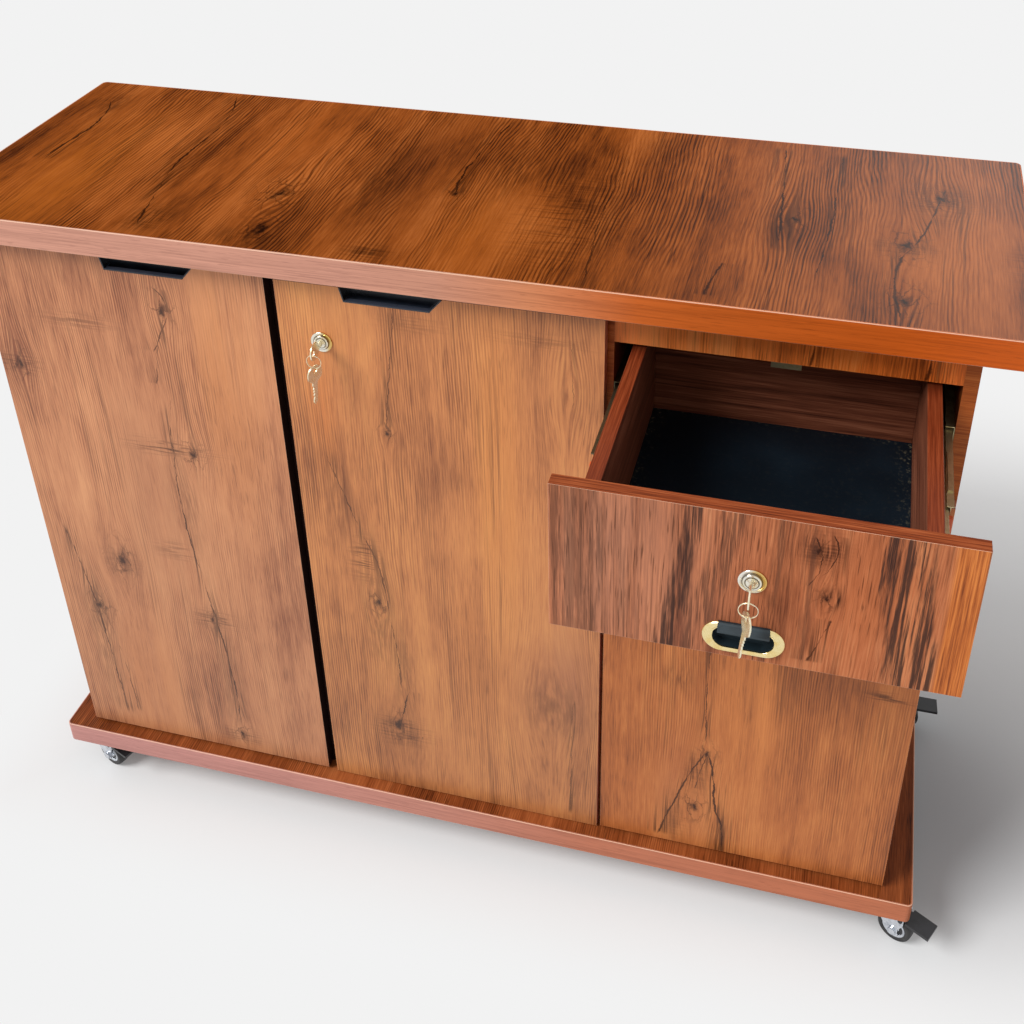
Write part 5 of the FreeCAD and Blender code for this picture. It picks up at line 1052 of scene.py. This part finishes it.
# %% Coil tree
class Growth(Net):
    """A Geometry Nodes tree with named inputs, given as (name, kind, value)."""

    def __init__(self, name, sockets):
        self.tree = bpy.data.node_groups.new(name, "GeometryNodeTree")
        self.ports = {}
        face = self.tree.interface
        face.new_socket("Geometry", in_out="INPUT", socket_type="NodeSocketGeometry")
        for label, kind, value in sockets:
            socket = face.new_socket(label, in_out="INPUT", socket_type="NodeSocket" + kind)
            if value is not None:
                socket.default_value = value
            self.ports[label] = socket.identifier
        face.new_socket("Geometry", in_out="OUTPUT", socket_type="NodeSocketGeometry")
        self.begin = self.tree.nodes.new("NodeGroupInput")

    def given(self, label):
        return Wire(self, self.begin.outputs[label])

    def ended(self, parts, finish):
        """Turn instances into real parts, give them their finish and lead them out."""
        whole = self.node("GeometryNodeRealizeInstances", None, {0: parts})
        painted = self.node("GeometryNodeSetMaterial", None, {0: whole, "Material": finish})
        self.node("NodeGroupOutput", None, {0: painted})
        return self


def coil_growth(finish):
    growth = Growth("split_ring", [
        ("Ring radius", "Float", 0.0092), ("Wire radius", "Float", 0.0004),
        ("Wire step", "Float", 0.0008), ("Turns", "Float", 1.9)])
    radius, turns = growth.given("Ring radius"), growth.given("Turns")
    spiral = growth.node("GeometryNodeCurveSpiral", None, {
        "Resolution": 48, "Start Radius": radius, "End Radius": radius, "Rotations": turns,
        "Height": growth.given("Wire step") * turns})
    wire = growth.node("GeometryNodeCurvePrimitiveCircle", None, {
        "Resolution": 12, "Radius": growth.given("Wire radius")})
    return growth.ended(growth.node("GeometryNodeCurveToMesh", None, {
        "Fill Caps": True, "Curve": spiral, "Profile Curve": wire}), finish)


def grown(growth, name, values, base=None):
    """Run a tree on a helper object and return its result as a plain mesh."""
    helper = linked(name + "_helper", base or bpy.data.meshes.new(name + "_base"))
    step = helper.modifiers.new("grow", "NODES")
    step.node_group = growth.tree
    for label, value in values.items():
        step[growth.ports[label]] = value
    graph = bpy.context.evaluated_depsgraph_get()
    graph.update()
    result = bpy.data.meshes.new_from_object(
        helper.evaluated_get(graph), preserve_all_data_layers=True, depsgraph=graph)
    bpy.data.objects.remove(helper)
    return result


RING, WIRE, TURNS = 0.0092, 0.0004, 1.95
coil_plan = coil_growth(nickel)
for lock in ("door", "drawer"):
    spot = Vector(JOINTS[lock + "_lock_turn"]["pos_m"])
    pivot = Vector(JOINTS[lock + "_keys_swing"]["pos_m"])
    centre = Vector((spot.x, pivot.y, spot.z - 11.6 * MM))
    coil = grown(coil_plan, lock + "_ring", {"Ring radius": RING, "Turns": TURNS})
    coil.transform(Matrix.Translation(centre) @ Matrix.Rotation(math.radians(90), 4, "X")
                   @ Matrix.Rotation(math.radians(35), 4, "Z")
                   @ Matrix.Translation((0, 0, -WIRE * TURNS)))
    added(lock + "_split_ring", coil, lock + "_keys", nickel,
          [lock + "_key_ring"], 60)
    lean = math.radians(5)
    turn = math.radians(24 if lock == "drawer" else -24)
    down = Vector((-math.sin(lean), 0, -math.cos(lean)))
    flat = Vector((0, 1, 0)).cross(down) * math.sin(turn) + Vector((0, 1, 0)) * math.cos(turn)
    eye = centre - Vector((0, 0, 9.2 * MM + 2.65 * MM))
    mesh = key_mesh(tuple(eye - down * 7 * MM), down, flat, SPARE_THICK)
    added(lock + "_spare_key", mesh, lock + "_keys", nickel, (), 40)
    print(lock, "ring", len(coil.vertices), "points")

# %% [markdown]
# ## Pulls
# The door pulls are folded black sheet: a lip along the door's top edge with a pocket behind it. Their form is the
# model's, with the folds eased so that the lip catches a long highlight, strengthened by a painted bluish
# highlight on the lip. The drawer's flush pull is a gold rim pressed to a half-round section round a black cup,
# with a hood over its top.

# %% Door pulls
for door in ("left", "middle", "lower"):
    eased(door + "_door_pull", pull_black, 0.0004, 3, 30)

# %% Drawer pull rim and cup
def slot_path(centre, half_length, radius, steps=28):
    """Points round a slot shape in the upright plane."""
    path = []
    for side, start in ((1, -90), (-1, 90)):
        for i in range(steps + 1):
            turn = math.radians(start + 180 * i / steps)
            out = Vector((math.cos(turn), 0, math.sin(turn)))
            path.append(Vector((centre.x + side * half_length, centre.y, centre.z)) + out * radius)
    return path


def swept_rim(inner, outer, section):
    """A closed section of (share of the way out, height) carried round between two paths."""
    verts = [near_spot.lerp(far_spot, u) + Vector((0, -1, 0)) * v
             for near_spot, far_spot in zip(inner, outer) for u, v in section]
    return solid("rim", verts, quads(len(section), len(inner)))


lo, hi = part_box("drawer_pull_bezel")
rim_centre = Vector(((lo.x + hi.x) / 2, hi.y, (lo.z + hi.z) / 2))
section = [(0, 0), (1, 0), (1, 0.7), (0.97, 1.2), (0.9, 1.9), (0.8, 2.5), (0.66, 2.9), (0.5, 3.0),
           (0.34, 2.9), (0.26, 2.6), (0.22, 2.2), (0.14, 2.1), (0.06, 1.9), (0, 1.4)]
section = [(share, height * MM) for share, height in section]
rim = swept_rim(slot_path(rim_centre, 16.8 * MM, 13.2 * MM),
                slot_path(rim_centre, 21.8 * MM, 18.5 * MM), section)
added("drawer_pull_rim", rim, "drawer", gold, ["drawer_pull_bezel"], 50)
eased("drawer_pull_insert", insert_black, 0.0005, 3, 30)


def extruded(profile, ends, turn):
    """A closed profile carried straight from one end to the other, closed at both."""
    verts = [turn(end, point) for end in ends for point in profile]
    count = len(profile)
    faces = [tuple(range(count)), tuple(range(2 * count - 1, count - 1, -1))]
    faces += [(i, (i + 1) % count, count + (i + 1) % count, count + i) for i in range(count)]
    return solid("extruded", verts, faces)


hood = millimetres([(0.2, 19.6), (2.6, 19.4), (4.6, 18.0), (4.9, 17.0), (5.6, 16.6), (6.3, 14.6),
                    (6.5, 11.8), (6.5, 8.6), (5.2, 8.2), (3.15, 8.2), (3.15, 18.7), (0.2, 18.7)])
hood = extruded(rounded(hood, 0.4 * MM, 2), (-25 * MM, 25 * MM), lambda end, point: (
    rim_centre.x + end, rim_centre.y - point[0], rim_centre.z + point[1]))
added("drawer_pull_hood", hood, "drawer", insert_black)
print("pulls made")

# %% [markdown]
# ## Slides
# The drawer runs on three-part slides whose members are roll-formed sheet, eased like the boards. A slide of one
# tone looks like a plain bar, so the faces of the folds that look up or forward keep the metal's cream tone, the
# webs between them carry painted shade, the left slide nearly all over, and the orange levers stand out.

# %% Slide members
for node in ("slide_outer_members", "slide_middle_members", "slide_inner_members", "lock_strikes"):
    eased(node, slide_cream, 0.00025, 2, 35)
for side in ("left", "right"):
    eased(side + "_release_lever", lever_orange, 0.0006, 3, 35)
print("slides made")

# %% [markdown]
# ## Castors
# Four swivel castors carry the base. Each has a pressed fork, a soft black tyre round a
# bright dished hub, a riveted axle and a black brake pedal over the wheel.
# Tyre and hub are turned pieces of their own, because they differ in finish.

# %% Wheels
def wheel(name):
    spin = JOINTS[name + "_wheel_spin"]
    body = name + "_wheel"
    tyre = rounded(millimetres([
        (17.2, -7.4), (19.0, -8.9), (22.6, -9.0), (24.4, -7.4), (25.0, -4.0), (25.0, 4.0),
        (24.4, 7.4), (22.6, 9.0), (19.0, 8.9), (17.2, 7.4)]), 0.9 * MM, 3)
    added(name + "_tyre", spun(tyre, spin["pos_m"], spin["axis"]), body, tyre_black,
          [name + "_castor_wheel"])
    for part, finish, outline in (
            ("hub", zinc, [(13.2, -6.9), (14.0, -7.9), (16.4, -8.2), (17.15, -7.9), (17.15, 7.9),
                           (16.4, 8.2), (14.0, 7.9), (13.2, 6.9)]),
            ("dish", pedal_finish, [(8.3, -5.6), (13.2, -6.2), (13.2, 6.2), (8.3, 5.6)]),
            ("cap", zinc, [(4.1, -7.5), (6.6, -7.6), (7.9, -6.9), (8.3, -6.2), (8.3, 6.2),
                           (7.9, 6.9), (6.6, 7.6), (4.1, 7.5)])):
        mesh = spun(rounded(millimetres(outline), 0.4 * MM, 3), spin["pos_m"], spin["axis"])
        added(name + "_" + part, mesh, body, finish)


CASTORS = ("front_right", "back_right", "front_left", "back_left")
for name in CASTORS:
    wheel(name)
    eased(name + "_castor_fork", zinc, 0.0004, 2, 35)
    eased(name + "_castor_brake", pedal_finish, 0.0008, 3, 30)
eased("castor_plates", zinc, 0.0004, 2, 35)
print("castors made")

# %% [markdown]
# ## Screws
# Sixty-odd screws hold the boards and fittings. One screw with a domed head and a cross recess is made, and
# Geometry Nodes set it at every place, each turned by its own angle about its axis, as a fitter leaves them.
# The places and directions are read from the model's plain screws.

# %% One screw, many places
def screw_mesh(head, head_height, shank, length, sunk):
    """A screw along +z, its head's underside at 0, with a cross recess in the head."""
    work = bmesh.new()
    rings = []
    if sunk:
        profile = [(shank, head_height), (head, 0.35 * MM), (head, 0.0)]
    else:
        profile = [(head, 0.0), (head, -head_height * 0.45), (head * 0.82, -head_height * 0.8),
                   (head * 0.6, -head_height)]
    steps = 24
    neck = head_height if sunk else 0.0
    order = [(shank * 0.15, length), (shank, length - 3 * MM), (shank, neck)] + profile
    for radius, height in order:
        rings.append([work.verts.new((x, y, height)) for x, y in circle(steps, radius)])
    for low, high in zip(rings, rings[1:]):
        for i in range(steps):
            work.faces.new((low[i - 1], low[i], high[i], high[i - 1]))
    work.faces.new(rings[0][::-1])
    top = rings[-1]
    level = order[-1][1]
    arm, half = head * 0.5, head * 0.12
    cross = [(arm, -half), (arm, half), (half, half), (half, arm), (-half, arm), (-half, half),
             (-arm, half), (-arm, -half), (-half, -half), (-half, -arm), (half, -arm), (half, -half)]
    rim = [work.verts.new((x, y, level)) for x, y in cross]
    floor_ring = [work.verts.new((x * 0.8, y * 0.8, level + head * 0.42)) for x, y in cross]
    edges = [work.edges.get((top[i - 1], top[i])) for i in range(steps)]
    edges += [work.edges.new((rim[i - 1], rim[i])) for i in range(12)]
    bmesh.ops.triangle_fill(work, edges=edges, use_beauty=True)
    for i in range(12):
        work.faces.new((rim[i - 1], rim[i], floor_ring[i], floor_ring[i - 1]))
    work.faces.new(floor_ring)
    bmesh.ops.recalc_face_normals(work, faces=work.faces)
    mesh = bpy.data.meshes.new("screw")
    work.to_mesh(mesh)
    work.free()
    return mesh


def screw_places(node):
    """The head centre and direction of every loose part of a model node."""
    work = bmesh.new()
    work.from_mesh(NODES[node].data)
    bmesh.ops.remove_doubles(work, verts=work.verts, dist=1e-6)
    seen, places = set(), []
    for start in work.verts:
        if start in seen:
            continue
        part, edge = [], [start]
        seen.add(start)
        while edge:
            vert = edge.pop()
            part.append(vert.co.copy())
            for link in vert.link_edges:
                other = link.other_vert(vert)
                if other not in seen:
                    seen.add(other)
                    edge.append(other)
        lo = Vector([min(p[i] for p in part) for i in range(3)])
        hi = Vector([max(p[i] for p in part) for i in range(3)])
        size = hi - lo
        axis = max(range(3), key=lambda i: size[i])
        middle = (lo + hi) / 2
        spread = [0, 0]
        for p in part:
            end = 0 if p[axis] < middle[axis] else 1
            away = math.hypot(*[(p - middle)[i] for i in range(3) if i != axis])
            spread[end] = max(spread[end], away)
        way = Vector((0, 0, 0))
        way[axis] = 1 if spread[0] > spread[1] else -1
        head = middle.copy()
        head[axis] = lo[axis] if way[axis] > 0 else hi[axis]
        places.append((head, way, size[axis], max(spread)))
    work.free()
    return places


def screw_growth(finish):
    growth = Growth("screws", [
        ("Screw", "Object", None), ("Size", "Float", 1.0), ("Seed", "Int", 5)])
    one = growth.node("GeometryNodeObjectInfo", None, {"Object": growth.given("Screw")},
                      "Geometry")
    way = growth.node("GeometryNodeInputNamedAttribute", {"data_type": "FLOAT_VECTOR"},
                      {"Name": "way"}, "Attribute")
    aim = growth.node("FunctionNodeAlignRotationToVector", {"axis": "Z"}, {"Vector": way})
    roll = growth.node("FunctionNodeRandomValue", {"data_type": "FLOAT"}, {
        2: 0.0, 3: 6.28, "Seed": growth.given("Seed")}, 1)
    turn = growth.node("FunctionNodeAxisAngleToRotation", None, {"Axis": (0, 0, 1), "Angle": roll})
    both = growth.node("FunctionNodeRotateRotation", {"rotation_space": "LOCAL"}, {
        "Rotation": aim, "Rotate By": turn})
    points = growth.node("GeometryNodeMeshToPoints", None, {"Mesh": growth.given("Geometry")})
    return growth.ended(growth.node("GeometryNodeInstanceOnPoints", None, {
        "Points": points, "Instance": one, "Rotation": both, "Scale": growth.given("Size")}), finish)


def set_screws(node, plan, head, head_height, shank, sunk):
    """One kind of screw at all its places, sunk into the board or standing on a plate."""
    places = screw_places(node)
    length = sorted(p[2] for p in places)[len(places) // 2]
    mesh = screw_mesh(head, head_height, shank, length if sunk else length - head_height, sunk)
    pattern = bpy.data.objects.new(node + "_pattern", mesh)
    shift = 0.0 if sunk else head_height
    base = solid(node + "_places", [p[0] + p[1] * shift for p in places], [])
    ways = base.attributes.new("way", "FLOAT_VECTOR", "POINT")
    ways.data.foreach_set("vector", [v for p in places for v in p[1]])
    result = grown(plan, node, {"Screw": pattern, "Size": 1.0, "Seed": 5}, base)
    bpy.data.objects.remove(pattern)
    print(node, len(places), "screws,", len(result.polygons), "faces")
    added(node + "_crossed", result, "cabinet", screw_zinc, [node], 30)


screw_plan = screw_growth(screw_zinc)
set_screws("assembly_screws", screw_plan, 4.5 * MM, 3.0 * MM, 2.25 * MM, True)
set_screws("fixing_screws", screw_plan, 3.2 * MM, 1.8 * MM, 1.75 * MM, False)

# %% [markdown]
# ## Carried-over fittings
# The rest of the model's pieces have the right shape already and take a finish.

# %% Finishes for the model's own pieces
PLAIN = {
    "zinc_screws": screw_zinc, "nickel_hinge": hinge_nickel, "black_pull": pull_black,
    "slide_steel": slide_cream, "orange_plastic": lever_orange, "lock_chrome": chrome["door"],
    "key_nickel": nickel, "gold_bezel": gold, "black_insert": insert_black,
    "castor_zinc": zinc, "castor_tyre": tyre_black, "pedal_black": pedal_finish,
}
for node, slot in SLOT.items():
    if slot in PLAIN and not NODES[node].hide_render:
        for index in range(len(NODES[node].data.materials)):
            NODES[node].data.materials[index] = PLAIN[slot]
print("fittings finished")
